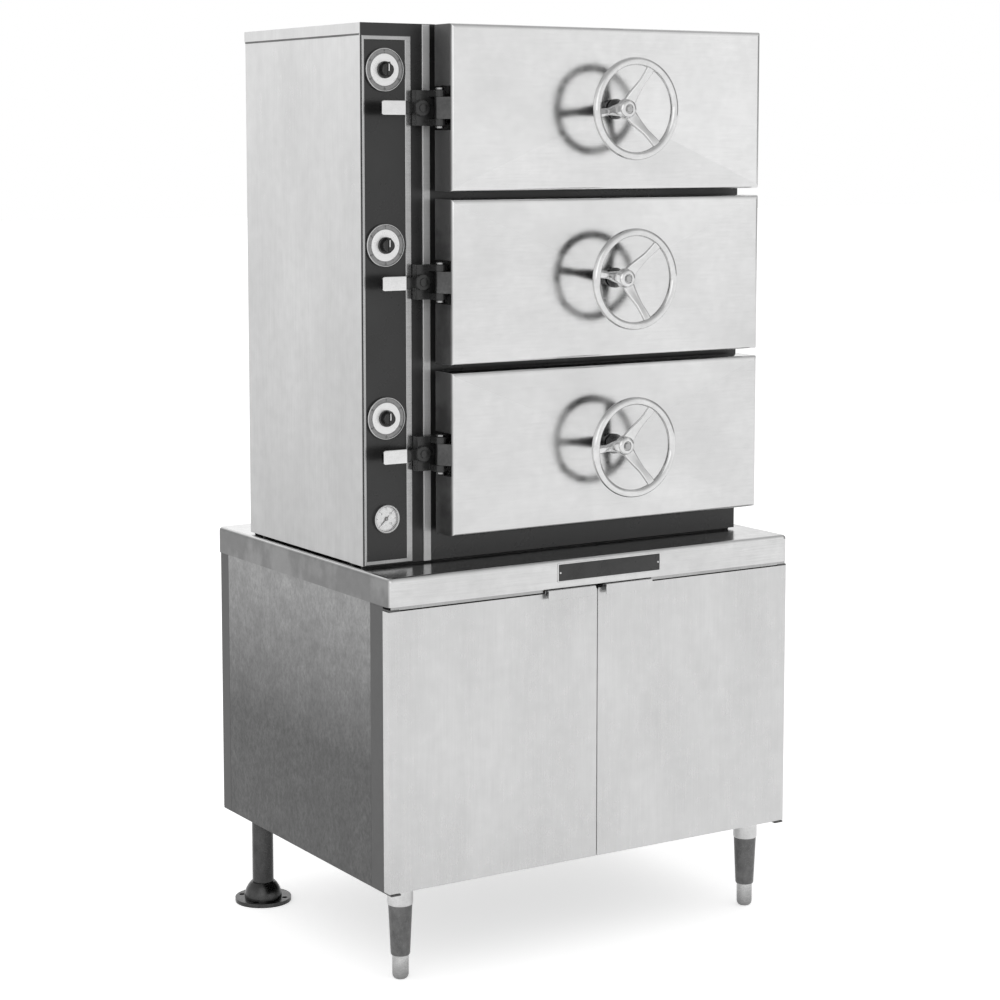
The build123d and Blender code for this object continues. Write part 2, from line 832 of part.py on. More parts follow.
export_step(pan_racks.part, "parts/pan_racks.step")

# Hinge brackets: black block on the fascia with two ears for the door pin
ear_radius = hinge_pin_radius + ear_wall
with BuildPart() as hinge_brackets:
    for level in levels:
        zc = centre_z[level]
        bracket_y = (fascia_y - bracket_front, fascia_y - post_thickness)
        bracket_z = (zc - bracket_height / 2, zc + bracket_height / 2)
        block((bracket_left, bracket_right), bracket_y, bracket_z)
        block((bracket_left, post_left - seat_gap), (bracket_y[1], fascia_y), bracket_z)
        for ear_low in (zc - knuckle_half_height - ear_thickness, zc + knuckle_half_height + seat_gap):
            ear_z = (ear_low, ear_low + ear_thickness - seat_gap)
            rod_z(pivot_x, pivot_y, ear_z, ear_radius)
            block((pivot_x - ear_radius, pivot_x + ear_reach), (pivot_y, bracket_y[0]), ear_z)
        rod_z(pivot_x, pivot_y, bracket_z, hinge_pin_radius + shaft_gap, Mode.SUBTRACT)
        rod_y(lever_x, (bracket_y[0], fascia_y), zc, lever_shaft_radius + shaft_gap, Mode.SUBTRACT)
hinge_brackets.part.label = "hinge_brackets"
export_step(hinge_brackets.part, "parts/hinge_brackets.step")

# Hinge pins with a round head at each end
with BuildPart() as hinge_pins:
    for level in levels:
        zc = centre_z[level]
        half_pin = bracket_height / 2
        rod_z(pivot_x, pivot_y, (zc - half_pin, zc + half_pin), hinge_pin_radius)
        rod_z(pivot_x, pivot_y, (zc + half_pin, zc + half_pin + pin_head_height), pin_head_radius)
        rod_z(pivot_x, pivot_y, (zc - half_pin - pin_head_height, zc - half_pin), pin_head_radius)
    fillet(hinge_pins.edges().filter_by(GeomType.CIRCLE).group_by(SortBy.RADIUS)[-1], radius=pin_head_bend)
hinge_pins.part.label = "hinge_pins"
export_step(hinge_pins.part, "parts/hinge_pins.step")

# Latch keepers: post on the fascia beside each opening with a window for the bolt
with BuildPart() as latch_keepers:
    for level in levels:
        zc = centre_z[level]
        keeper_x = (keeper_left, keeper_left + keeper_width)
        keeper_z = (zc - keeper_height / 2, zc + keeper_height / 2)
        block(keeper_x, (bolt_front - keeper_wall, fascia_y), keeper_z)
        half_window = bolt_height / 2 + window_gap
        window_y = (bolt_front - window_gap, bolt_back + window_gap)
        block(keeper_x, window_y, (zc - half_window, zc + half_window), Mode.SUBTRACT)
        foot_z = (zc - keeper_foot_height / 2, zc + keeper_foot_height / 2)
        block(keeper_x, (fascia_y - keeper_foot, fascia_y), foot_z)
latch_keepers.part.label = "latch_keepers"
export_step(latch_keepers.part, "parts/latch_keepers.step")

# Timers: body behind the fascia, bushing through it, round bezel in front, shaft for the knob
with BuildPart() as timer_bodies:
    for level in levels:
        dial_z = centre_z[level] + dial_rise
        half_body = timer_body_size / 2
        body_y = (fascia_back, fascia_back + timer_body_depth)
        block((dial_x - half_body, dial_x + half_body), body_y, (dial_z - half_body, dial_z + half_body))
        rod_y(dial_x, (panel_y[0], fascia_back), dial_z, bushing_radius)
        rod_y(dial_x, (panel_y[0] - bezel_thickness, panel_y[0]), dial_z, bezel_radius)
        shaft_y = (panel_y[0] - bezel_thickness - timer_shaft_length, panel_y[0])
        rod_y(dial_x, shaft_y, dial_z, timer_shaft_radius)
timer_bodies.part.label = "timer_bodies"
export_step(timer_bodies.part, "parts/timer_bodies.step")

# Steam valves: round body behind each lever with an inlet from the riser and an outlet port
valve_y = (fascia_back, fascia_back + valve_length)
with BuildPart() as valve_bodies:
    for level in levels:
        zc = centre_z[level]
        rod_y(lever_x, valve_y, zc, valve_radius)
        port_x = (riser_x + riser_radius + pipe_fit, door_x - chamber_width / 2)
        rod_x(port_x, riser_y, zc, valve_port_radius)
        rod_x((lever_x - valve_nut_reach, lever_x + valve_nut_reach), riser_y, zc, valve_nut_radius)
        stem_hole = (valve_y[0], valve_y[0] + valve_stem_depth)
        rod_y(lever_x, stem_hole, zc, lever_shaft_radius + shaft_gap, Mode.SUBTRACT)
        outlet_x = (lever_x + valve_radius, port_x[1])
        rod_x(outlet_x, riser_y, zc, valve_port_radius - valve_port_wall, Mode.SUBTRACT)
valve_bodies.part.label = "valve_bodies"
export_step(valve_bodies.part, "parts/valve_bodies.step")

# Pressure gauge case: cup through the panel with a rim in front and a raised needle stem
gauge_z = centre_z["lower"] - gauge_drop
with BuildPart() as gauge_case:
    rim_front = panel_y[0] - gauge_rim
    rod_y(dial_x, (rim_front, panel_y[0]), gauge_z, gauge_radius)
    rod_y(dial_x, (panel_y[0], panel_y[0] + gauge_depth), gauge_z, gauge_radius - gauge_cup_step)
    inner_radius = gauge_radius - gauge_wall
    rod_y(dial_x, (rim_front, panel_y[0] - gauge_floor), gauge_z, inner_radius, Mode.SUBTRACT)
    rod_y(dial_x, (panel_y[0] - gauge_stem, panel_y[0]), gauge_z, gauge_stem_radius)
gauge_case.part.label = "gauge_case"
export_step(gauge_case.part, "parts/gauge_case.step")

# Gauge needle: tapered pointer with a tail, turning on the stem
with BuildPart() as gauge_needle:
    tip_reach = needle_length / math.sqrt(2)
    with BuildSketch(upright(panel_y[0] - needle_lift)):
        with Locations((dial_x, gauge_z)):
            Circle(needle_hub)
        with BuildLine():
            Polyline(
                (dial_x - needle_half_width, gauge_z),
                (dial_x - tip_reach, gauge_z - tip_reach),
                (dial_x, gauge_z - needle_half_width),
                (dial_x + needle_tail, gauge_z + needle_tail),
                close=True,
            )
        make_face()
        with Locations((dial_x, gauge_z)):
            Circle(gauge_stem_radius + shaft_gap, mode=Mode.SUBTRACT)
    extrude(amount=needle_thickness)
gauge_needle.part.label = "gauge_needle"
export_step(gauge_needle.part, "parts/gauge_needle.step")

# Steam riser: pipe from the boiler up through the worktop, capped above the top valve
nozzle_x = boiler_x - boiler_length / 2 + nozzle_inset
nozzle_top = boiler_z + boiler_radius + nozzle_rise
riser_turn = nozzle_top + riser_rise
riser_end = centre_z["upper"] + riser_top
with BuildPart() as steam_riser:
    with BuildLine() as riser_path:
        FilletPolyline(
            (nozzle_x, boiler_y, nozzle_top),
            (nozzle_x, boiler_y, riser_turn),
            (riser_x, riser_y, riser_turn),
            (riser_x, riser_y, riser_end),
            radius=riser_bend,
        )
    with BuildSketch(Plane(origin=(nozzle_x, boiler_y, nozzle_top), z_dir=(0, 0, 1))):
        Circle(riser_radius)
        Circle(riser_radius - riser_wall, mode=Mode.SUBTRACT)
    sweep(path=riser_path.wires()[0])
    rod_z(riser_x, riser_y, (riser_end, riser_end + pipe_cap), riser_radius)
steam_riser.part.label = "steam_riser"
export_step(steam_riser.part, "parts/steam_riser.step")

# Drain manifold behind the upper box, ending in a pipe at the back above the worktop
drain_y = chamber_back + nipple_length + drain_radius + drain_fit
drain_top_z = centre_z["upper"] - drain_drop + drain_top
drain_end_z = worktop_top + drain_rise
drain_mouth = back_y - edge_break
with BuildPart() as drain_manifold:
    with BuildLine() as drain_path:
        FilletPolyline(
            (drain_x, drain_y, drain_top_z),
            (drain_x, drain_y, drain_end_z),
            (drain_x, drain_mouth, drain_end_z),
            radius=drain_bend,
        )
    with BuildSketch(Plane(origin=(drain_x, drain_y, drain_top_z), z_dir=(0, 0, -1))):
        Circle(drain_radius)
        Circle(drain_radius - drain_wall, mode=Mode.SUBTRACT)
    sweep(path=drain_path.wires()[0])
    rod_z(drain_x, drain_y, (drain_top_z, drain_top_z + pipe_cap), drain_radius)
    for level in levels:
        socket_z = centre_z[level] - drain_drop
        socket_y = (chamber_back + nipple_length, drain_y - drain_radius + drain_wall)
        rod_y(drain_x, socket_y, socket_z, nipple_radius + socket_wall)
        rod_y(drain_x, (socket_y[0], drain_y), socket_z, nipple_radius - nipple_wall, Mode.SUBTRACT)
drain_manifold.part.label = "drain_manifold"
export_step(drain_manifold.part, "parts/drain_manifold.step")

# Boiler: closed hollow vessel with dished ends, nozzles on top and a feed pipe through the back
boiler_left = boiler_x - boiler_length / 2
boiler_right = boiler_x + boiler_length / 2
safety_x = boiler_x + safety_offset
safety_base = boiler_z + boiler_radius + safety_stub_rise
feed_mouth = back_y - edge_break
shoulder_x = boiler_dish * 0.22
shoulder_share = 0.55
with BuildPart() as boiler:
    for wall, mode in ((0, Mode.ADD), (boiler_wall, Mode.SUBTRACT)):
        left = boiler_left + wall
        right = boiler_right - wall
        radius = boiler_radius - wall
        with BuildSketch(Plane.XY.move(Location((0, boiler_y, boiler_z)))):
            with BuildLine():
                Line((left, 0), (right, 0))
                ThreePointArc(
                    (right, 0), (right - shoulder_x, radius * shoulder_share), (right - boiler_dish, radius)
                )
                Line((right - boiler_dish, radius), (left + boiler_dish, radius))
                ThreePointArc(
                    (left + boiler_dish, radius), (left + shoulder_x, radius * shoulder_share), (left, 0)
                )
            make_face()
        if mode == Mode.SUBTRACT:
            rod_z(nozzle_x, boiler_y, (boiler_z, nozzle_top), riser_radius + nozzle_wall)
            rod_z(safety_x, boiler_y, (boiler_z, safety_base), safety_stub_radius)
            rod_y(feed_x, (boiler_y, feed_mouth), boiler_z, feed_radius)
        revolve(axis=Axis((0, boiler_y, boiler_z), (1, 0, 0)), mode=mode)
    rod_z(nozzle_x, boiler_y, (boiler_z, nozzle_top), riser_radius - riser_wall, Mode.SUBTRACT)
    rod_z(safety_x, boiler_y, (boiler_z, safety_base), safety_stub_bore, Mode.SUBTRACT)
    rod_y(feed_x, (boiler_y, feed_mouth), boiler_z, feed_inner_bore, Mode.SUBTRACT)
    rod_y(feed_x, (feed_mouth - feed_bore_length, feed_mouth), boiler_z, feed_bore, Mode.SUBTRACT)
boiler.part.label = "boiler"
export_step(boiler.part, "parts/boiler.step")

# Safety valve on the boiler with a side outlet and a forked top for the try lever
safety_top = safety_base + safety_height
fork_low = safety_top - safety_fork_height
fork_x = safety_x - fork_front
fork_z = safety_top - fork_pin_drop
half_fork = fork_gap / 2
with BuildPart() as safety_valve:
    rod_z(safety_x, boiler_y, (safety_base, safety_base + safety_base_height), safety_base_radius)
    rod_z(safety_x, boiler_y, (safety_base + safety_base_height, fork_low), safety_body_radius)
    outlet_z = safety_base + safety_outlet_rise
    rod_x((safety_x, safety_x + safety_outlet_reach), boiler_y, outlet_z, safety_outlet_radius)
    prong_x = (safety_x - fork_reach, safety_x + fork_front)
    for side in (-1, 1):
        prong_y = sorted((boiler_y + side * half_fork, boiler_y + side * (half_fork + fork_thickness)))
        block(prong_x, prong_y, (fork_low, safety_top))
    pin_reach = half_fork + fork_thickness
    rod_y(fork_x, (boiler_y - pin_reach, boiler_y + pin_reach), fork_z, fork_pin_radius)
safety_valve.part.label = "safety_valve"
export_step(safety_valve.part, "parts/safety_valve.step")

# Try lever of the safety valve
with BuildPart() as safety_lever:
    hub_reach = half_fork - window_gap
    rod_y(fork_x, (boiler_y - hub_reach, boiler_y + hub_reach), fork_z, try_lever_radius)
    lever_y = (boiler_y - try_lever_width / 2, boiler_y + try_lever_width / 2)
    lever_z = (fork_z + try_lever_rise, fork_z + try_lever_rise + try_lever_thickness)
    block((fork_x, fork_x + try_lever_length), lever_y, lever_z)
    bore_reach = (boiler_y - half_fork, boiler_y + half_fork)
    rod_y(fork_x, bore_reach, fork_z, fork_pin_radius + shaft_gap, Mode.SUBTRACT)
safety_lever.part.label = "safety_lever"
export_step(safety_lever.part, "parts/safety_lever.step")

# Compartment doors and the closing gear that each one carries
knuckle_radius = hinge_pin_radius + knuckle_wall
for level in levels:
    zc = centre_z[level]

    # Cover: sheet shell with a face broken into four shallow facets that rise to the wheel hub
    with BuildPart() as door_cover:
        with BuildSketch(upright(door_face)):
            with Locations((door_x, zc)):
                Rectangle(door_width, door_height)
        with BuildSketch(upright(door_face - cover_peak)):
            with Locations((door_x, zc)):
                Rectangle(peak_land_width, peak_land_height)
        loft(ruled=True)
        block((door_left, door_right), (door_face, cover_back), (zc - door_height / 2, zc + door_height / 2))
        with BuildSketch(upright(door_face + sheet)):
            with Locations((door_x, zc)):
                Rectangle(door_width - 2 * sheet, door_height - 2 * sheet)
        with BuildSketch(upright(door_face - cover_peak + sheet)):
            with Locations((door_x, zc)):
                Rectangle(peak_land_width, peak_land_height)
        loft(ruled=True, mode=Mode.SUBTRACT)
        inner_z = (zc - door_height / 2 + sheet, zc + door_height / 2 - sheet)
        inner_y = (door_face + sheet, cover_back)
        block((door_left + sheet, door_right - sheet), inner_y, inner_z, Mode.SUBTRACT)
        notch_z = (zc - notch_half_height, zc + notch_half_height)
        notch_y = (door_face + notch_front, cover_back)
        block((door_left, door_left + sheet), notch_y, notch_z, Mode.SUBTRACT)
        hole_y = (door_face - cover_peak, door_face)
        rod_y(door_x, hole_y, zc, spindle_radius + hub_hole_gap, Mode.SUBTRACT)
    door_cover.part.label = f"door_cover_{level}"
    export_step(door_cover.part, f"parts/door_cover_{level}.step")

    # Arm: channel across the door with a hinge knuckle, a spindle boss, a strut and bolt guides
    arm_left = door_left + arm_end_gap
    arm_right = bolt_tip - arm_bolt_gap
    with BuildPart() as door_arm:
        half_arm = arm_height / 2
        block((arm_left, arm_right), (arm_front, arm_back), (zc - half_arm, zc + half_arm))
        for side in (-1, 1):
            lip_z = sorted((zc + side * (half_arm - arm_thickness), zc + side * half_arm))
            block((arm_left, arm_right), (arm_back, arm_front + arm_flange_depth), lip_z)
        strut_z = (zc - door_height / 2 + sheet, zc + door_height / 2 - sheet)
        block((door_x - strut_width / 2, door_x + strut_width / 2), (arm_front, arm_back), strut_z)
        rod_y(door_x, (arm_front, cam_front - cam_gap), zc, spindle_boss_radius)
        first_guide = bolt_tip - guide_setback
        for guide_x in (first_guide, first_guide - guide_spread):
            guide = (guide_x, guide_x + guide_width)
            block(guide, (arm_back, cam_front - cam_gap), (zc - half_arm, zc + half_arm))
            channel_y = (bolt_front - bolt_clearance, bolt_back + bolt_clearance)
            half_slot = bolt_height / 2 + bolt_clearance
            block(guide, channel_y, (zc - half_slot, zc + half_slot), Mode.SUBTRACT)
        with BuildSketch(Plane.XY.offset(zc - knuckle_half_height)):
            with BuildLine():
                Polyline(
                    (arm_left + knuckle_overlap, arm_front),
                    (door_left + edge_break + cam_gap, arm_front + knuckle_bend),
                    (pivot_x - knuckle_radius * 0.8, pivot_y - knuckle_radius * 0.6),
                    (pivot_x + knuckle_radius * 0.6, pivot_y + knuckle_radius * 0.8),
                    (arm_left + knuckle_overlap, arm_front + arm_flange_depth - edge_break),
                    close=True,
                )
            make_face()
            with Locations((pivot_x, pivot_y)):
                Circle(knuckle_radius)
        extrude(amount=2 * knuckle_half_height)
        knuckle_z = (zc - knuckle_half_height, zc + knuckle_half_height)
        rod_z(pivot_x, pivot_y, knuckle_z, hinge_pin_radius + shaft_gap, Mode.SUBTRACT)
        rod_y(door_x, (arm_front, cam_front), zc, spindle_radius + shaft_gap, Mode.SUBTRACT)
    door_arm.part.label = f"door_arm_{level}"
    export_step(door_arm.part, f"parts/door_arm_{level}.step")

    # Hand wheel: round rim, dished flat spokes and a domed hub
    hub_back = door_face - cover_peak - hub_gap
    hub_face = wheel_front + hub_front
    rim_y = wheel_front + rim_radius
    with BuildPart() as handwheel:
        with BuildSketch(Plane.XY.move(Location((door_x, 0, zc)))):
            with Locations((wheel_radius - rim_radius, rim_y)):
                Circle(rim_radius)
        revolve(axis=Axis((door_x, 0, zc), (0, 1, 0)))
        with BuildSketch(Plane.XY.move(Location((door_x, 0, zc)))):
            with BuildLine():
                Line((0, hub_face), (0, hub_back))
                Line((0, hub_back), (hub_radius - hub_foot, hub_back))
                Line((hub_radius - hub_foot, hub_back), (hub_radius, hub_back - hub_foot_length))
                Line((hub_radius, hub_back - hub_foot_length), (hub_radius, hub_face + hub_waist))
                RadiusArc((hub_radius, hub_face + hub_waist), (hub_flat, hub_face), -hub_dome)
                Line((hub_flat, hub_face), (0, hub_face))
            make_face()
        revolve(axis=Axis((door_x, 0, zc), (0, 1, 0)))
        for i in range(spoke_count):
            angle = math.radians(wheel_angles[level] + i * 360 / spoke_count)
            outward = (math.cos(angle), 0, math.sin(angle))
            along = (-math.sin(angle), 0, math.cos(angle))
            start = hub_radius - spoke_overlap
            end = wheel_radius - rim_radius - spoke_rim_gap
            root_y = hub_face + spoke_root_depth
            hub_end = (door_x + start * outward[0], root_y, zc + start * outward[2])
            rim_end = (door_x + end * outward[0], rim_y, zc + end * outward[2])
            with BuildSketch(Plane(origin=hub_end, x_dir=along, z_dir=outward)):
                RectangleRounded(spoke_hub_width, spoke_thickness, spoke_edge)
            with BuildSketch(Plane(origin=rim_end, x_dir=along, z_dir=outward)):
                RectangleRounded(spoke_rim_width, spoke_thickness - spoke_thinning, spoke_edge)
            loft(ruled=True)
        bore_y = (hub_face + hub_cap, hub_back)
        rod_y(door_x, bore_y, zc, spindle_radius + shaft_gap, Mode.SUBTRACT)
    handwheel.part.label = f"handwheel_{level}"
    export_step(handwheel.part, f"parts/handwheel_{level}.step")

    # Spindle with the scroll cam. The groove is an Archimedean spiral: its radius grows by
    # bolt_travel / wheel_turns each turn, so it pushes the bolt out at a steady rate.
    turn_growth = bolt_travel / wheel_turns
    groove_margin = math.radians(12)
    groove_end = wheel_turns * 2 * math.pi + groove_margin
    groove_steps = 28
    with BuildPart() as spindle:
        rod_y(door_x, (hub_face + hub_cap + spindle_hub_reach, spindle_tip), zc, spindle_radius)
        collar_y = (arm_front - skin_to_arm, arm_front - seat_gap)
        rod_y(door_x, collar_y, zc, spindle_radius + spindle_collar)
        rod_y(door_x, (cam_front, cam_back), zc, cam_radius)
        with BuildSketch(upright(cam_front)):
            with BuildLine():
                sides = {}
                for offset_r in (-groove_width / 2, groove_width / 2):
                    points = []
                    for step in range(groove_steps + 1):
                        turn = -groove_margin + (groove_end + groove_margin) * step / groove_steps
                        radius = follower_start + turn_growth * turn / (2 * math.pi) + offset_r
                        points.append((door_x + radius * math.cos(turn), zc + radius * math.sin(turn)))
                    sides[offset_r] = points
                    Spline(*points)
                inner = sides[-groove_width / 2]
                outer = sides[groove_width / 2]
                Line(inner[0], outer[0])
                Line(inner[-1], outer[-1])
            make_face()
        extrude(amount=-groove_depth, mode=Mode.SUBTRACT)
    spindle.part.label = f"spindle_{level}"
    export_step(spindle.part, f"parts/spindle_{level}.step")

    # Pressure plate: pan pressed towards the compartment, with a blind boss for the spindle tip
    with BuildPart() as pressure_plate:
        with BuildSketch(upright(plate_front)):
            with Locations((door_x, zc)):
                RectangleRounded(plate_width, plate_height, chamber_corner)
        extrude(amount=-plate_thickness)
        with BuildSketch(upright(plate_back)):
            with Locations((door_x, zc)):
                Rectangle(chamber_inner_width - 2 * dish_margin, chamber_inner_height - 2 * dish_margin)
        extrude(amount=-plate_dish, taper=dish_taper)
        with BuildSketch(upright(plate_front)):
            with Locations((door_x, zc)):
                hollow_margin = dish_margin + plate_thickness
                Rectangle(chamber_inner_width - 2 * hollow_margin, chamber_inner_height - 2 * hollow_margin)
        extrude(amount=-plate_dish, taper=dish_taper, mode=Mode.SUBTRACT)
        boss_y = (plate_front, spindle_tip + plate_boss_depth)
        rod_y(door_x, boss_y, zc, plate_boss_radius)
        bore_y = (plate_front, spindle_tip + plate_boss_depth - plate_boss_wall)
        rod_y(door_x, bore_y, zc, spindle_radius + shaft_gap, Mode.SUBTRACT)
    pressure_plate.part.label = f"pressure_plate_{level}"
    export_step(pressure_plate.part, f"parts/pressure_plate_{level}.step")

    # Gasket: moulded rubber ring on the plate that meets the front edge of the compartment
    with BuildPart() as gasket:
        with BuildSketch(upright(plate_back)):
            with Locations((door_x, zc)):
                RectangleRounded(plate_width, plate_height, chamber_corner)
                inner_width = plate_width - 2 * gasket_width
                inner_height = plate_height - 2 * gasket_width
                RectangleRounded(inner_width, inner_height, gasket_corner, mode=Mode.SUBTRACT)
        extrude(amount=-gasket_thickness)
        chamfer(gasket.faces().sort_by(Axis.Y)[-1].edges(), length=gasket_lip)
    gasket.part.label = f"gasket_{level}"
    export_step(gasket.part, f"parts/gasket_{level}.step")

    # Latch bolt: flat bar through the guides with a follower pin in the cam groove
    follower_x = door_x + follower_start
    with BuildPart() as latch_bolt:
        bolt_z = (zc - bolt_height / 2, zc + bolt_height / 2)
        block((follower_x - bolt_tail, bolt_tip), (bolt_front, bolt_back), bolt_z)
        chamfer(latch_bolt.faces().sort_by(Axis.X)[-1].edges(), length=bolt_nose)
        pin_y = (bolt_back, cam_front + groove_depth - follower_gap)
        rod_y(follower_x, pin_y, zc, follower_radius)
    latch_bolt.part.label = f"latch_bolt_{level}"
    export_step(latch_bolt.part, f"parts/latch_bolt_{level}.step")

# Timer knobs: round skirted knob with a raised grip bar, turning on the timer shaft
for level in levels:
    dial_z = centre_z[level] + dial_rise
    knob_back = panel_y[0] - bezel_thickness - seat_gap
    with BuildPart() as timer_knob:
        rod_y(dial_x, (knob_back - knob_skirt, knob_back), dial_z, knob_radius)
        rod_y(dial_x, (knob_back - knob_length, knob_back - knob_skirt), dial_z, knob_radius - knob_waist)
        chamfer(timer_knob.faces().sort_by(Axis.Y)[0].edges(), length=edge_break)
        grip_x = (dial_x - grip_thickness / 2, dial_x + grip_thickness / 2)
        grip_y = (knob_back - knob_length - grip_rise, knob_back - knob_skirt)
        grip_z = (dial_z - knob_radius + knob_skirt, dial_z + knob_radius - edge_break)
        block(grip_x, grip_y, grip_z)
        bore_y = (knob_back - timer_shaft_length, knob_back)
        rod_y(dial_x, bore_y, dial_z, timer_shaft_radius + shaft_gap, Mode.SUBTRACT)
    timer_knob.part.label = f"timer_knob_{level}"
    export_step(timer_knob.part, f"parts/timer_knob_{level}.step")

# Steam levers: flat handle on a hub, with a shaft through the bracket into the valve
for level in levels:
    zc = centre_z[level]
    with BuildPart() as steam_lever:
        with BuildSketch(upright(lever_back)):
            with Locations((lever_x - lever_length / 2, zc)):
                RectangleRounded(lever_length, lever_width, lever_corner)
            with Locations((lever_x, zc)):
                Circle(lever_hub_radius)
        extrude(amount=lever_thickness)
        fillet(steam_lever.faces().sort_by(Axis.Y)[0].edges(), radius=lever_edge)
        boss_y = (lever_back - lever_thickness - lever_boss_rise, lever_back)
        rod_y(lever_x, boss_y, zc, lever_boss_radius)
        rod_y(lever_x, (lever_back - edge_break, valve_y[0] + lever_shaft_depth), zc, lever_shaft_radius)
    steam_lever.part.label = f"steam_lever_{level}"
    export_step(steam_lever.part, f"parts/steam_lever_{level}.step")

# Base doors: sheet trays with an outward edge rounded about the pivot, pins and a finger pull
for name, side in (("left", -1), ("right", 1)):
    outer_x = side * (half_width - base_door_inset)
    inner_x = side * base_door_split / 2
    back_y_door = frame_front - seat_gap
    reach = base_pivot_depth + edge_round_gap
    cut_y = pivot_base_y + math.sqrt(reach**2 - base_pivot_inset**2)
    with BuildPart() as base_door:
        with BuildSketch(Plane.XY.offset(base_door_bottom)):
            with BuildLine():
                Polyline(
                    (side * pivot_base_x, back_y_door),
                    (inner_x, back_y_door),
                    (inner_x, base_door_face),
                    (outer_x, base_door_face),
                    (outer_x, cut_y),
                    close=True,
                )
            make_face()
        extrude(amount=base_door_top - base_door_bottom)
        tray_x = sorted((inner_x + side * sheet, side * (pivot_base_x - lug_inner)))
        tray_z = (base_door_bottom + sheet, base_door_top - sheet)
        block(tray_x, (base_door_face + sheet, back_y_door), tray_z, Mode.SUBTRACT)
        for pin_z in (
            (base_door_bottom - lug_thickness, base_door_bottom + base_pin_depth),
            (base_door_top - base_pin_depth, base_door_top + lug_thickness),
        ):
            rod_z(side * pivot_base_x, pivot_base_y, pin_z, base_pin_radius)
        pull_x = sorted((side * pull_start, side * (pull_start + pull_width)))
        pull_front = base_door_face - pull_reach
        pull_top = base_door_top + pull_rise
        block(pull_x, (base_door_face, base_door_face + sheet), (base_door_top - sheet, pull_top))
        block(pull_x, (pull_front, base_door_face + sheet), (pull_top - sheet, pull_top))
        block(pull_x, (pull_front, pull_front + sheet), (pull_top - pull_drop, pull_top))
    base_door.part.label = f"base_door_{name}"
    export_step(base_door.part, f"parts/base_door_{name}.step")
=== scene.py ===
import math

import bmesh
import bpy
import numpy as np
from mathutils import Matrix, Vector


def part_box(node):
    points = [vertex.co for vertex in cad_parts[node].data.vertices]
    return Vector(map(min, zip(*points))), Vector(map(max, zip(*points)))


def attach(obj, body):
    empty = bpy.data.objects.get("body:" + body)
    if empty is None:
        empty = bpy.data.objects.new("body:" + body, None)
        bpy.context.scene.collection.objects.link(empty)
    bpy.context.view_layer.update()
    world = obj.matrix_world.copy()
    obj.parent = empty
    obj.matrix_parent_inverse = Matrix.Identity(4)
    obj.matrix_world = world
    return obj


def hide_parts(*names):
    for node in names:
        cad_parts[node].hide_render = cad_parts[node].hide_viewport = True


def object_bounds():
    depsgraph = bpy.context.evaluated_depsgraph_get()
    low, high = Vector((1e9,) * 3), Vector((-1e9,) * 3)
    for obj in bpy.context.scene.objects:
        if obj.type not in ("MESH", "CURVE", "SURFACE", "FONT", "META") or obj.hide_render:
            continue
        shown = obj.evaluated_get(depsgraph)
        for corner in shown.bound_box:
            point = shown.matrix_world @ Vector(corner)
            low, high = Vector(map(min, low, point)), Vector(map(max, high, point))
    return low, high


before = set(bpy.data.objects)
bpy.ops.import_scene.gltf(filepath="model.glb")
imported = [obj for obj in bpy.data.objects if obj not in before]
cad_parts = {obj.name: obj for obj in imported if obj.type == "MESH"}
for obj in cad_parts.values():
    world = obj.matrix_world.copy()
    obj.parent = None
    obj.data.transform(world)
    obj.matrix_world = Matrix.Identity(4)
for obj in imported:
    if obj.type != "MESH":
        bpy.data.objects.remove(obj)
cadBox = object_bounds()
levels = ["lower", "middle", "upper"]
mm = 0.001

# Mesh helpers. A surface is a grid of points, and faces join each point to its neighbours.


def closeShell(points, faces):
    # points within a micrometre become one, faces that lose a corner turn into triangles,
    # and all faces are turned round if the volume (sum of a . b x c / 6) comes out negative
    keys = np.round(points / 1e-6).astype(np.int64)
    first, index = np.unique(keys, axis=0, return_index=True, return_inverse=True)[1:]
    faces = index.reshape(-1)[faces]
    points = points[first]
    same = faces == np.roll(faces, -1, axis=1)
    quads = faces[~same.any(1)]
    bent = faces[same.sum(1) == 1]
    keep = ~same[same.sum(1) == 1]
    triangles = bent[keep].reshape(-1, 3)
    halves = np.concatenate([quads[:, :3], quads[:, [0, 2, 3]], triangles])
    a, b, c = points[halves[:, 0]], points[halves[:, 1]], points[halves[:, 2]]
    if np.einsum("ij,ij->", a - points.mean(0), np.cross(b - points.mean(0), c - points.mean(0))) < 0:
        quads = quads[:, ::-1]
        triangles = triangles[:, ::-1]
    return points, quads.tolist() + triangles.tolist()


def gridShell(grid, wrapRows=False):
    # quad (i, j), (i+1, j), (i+1, j+1), (i, j+1) for every cell; the last column joins the first, and the
    # last row too where wrapRows says so
    rows, columns = grid.shape[:2]
    i, j = np.meshgrid(np.arange(rows - (not wrapRows)), np.arange(columns), indexing="ij")
    nextI, nextJ = (i + 1) % rows, (j + 1) % columns
    quads = [i * columns + j, nextI * columns + j, nextI * columns + nextJ, i * columns + nextJ]
    return closeShell(grid.reshape(-1, 3), np.stack(quads, -1).reshape(-1, 4))


def joinShells(shells):
    # several shells become one list of points and faces
    points = []
    faces = []
    count = 0
    for shellPoints, shellFaces in shells:
        points.append(np.asarray(shellPoints))
        faces += [[corner + count for corner in face] for face in shellFaces]
        count += len(shellPoints)
    return np.concatenate(points), faces


def addObject(name, data):
    thing = bpy.data.objects.new(name, data)
    bpy.context.scene.collection.objects.link(thing)
    return thing


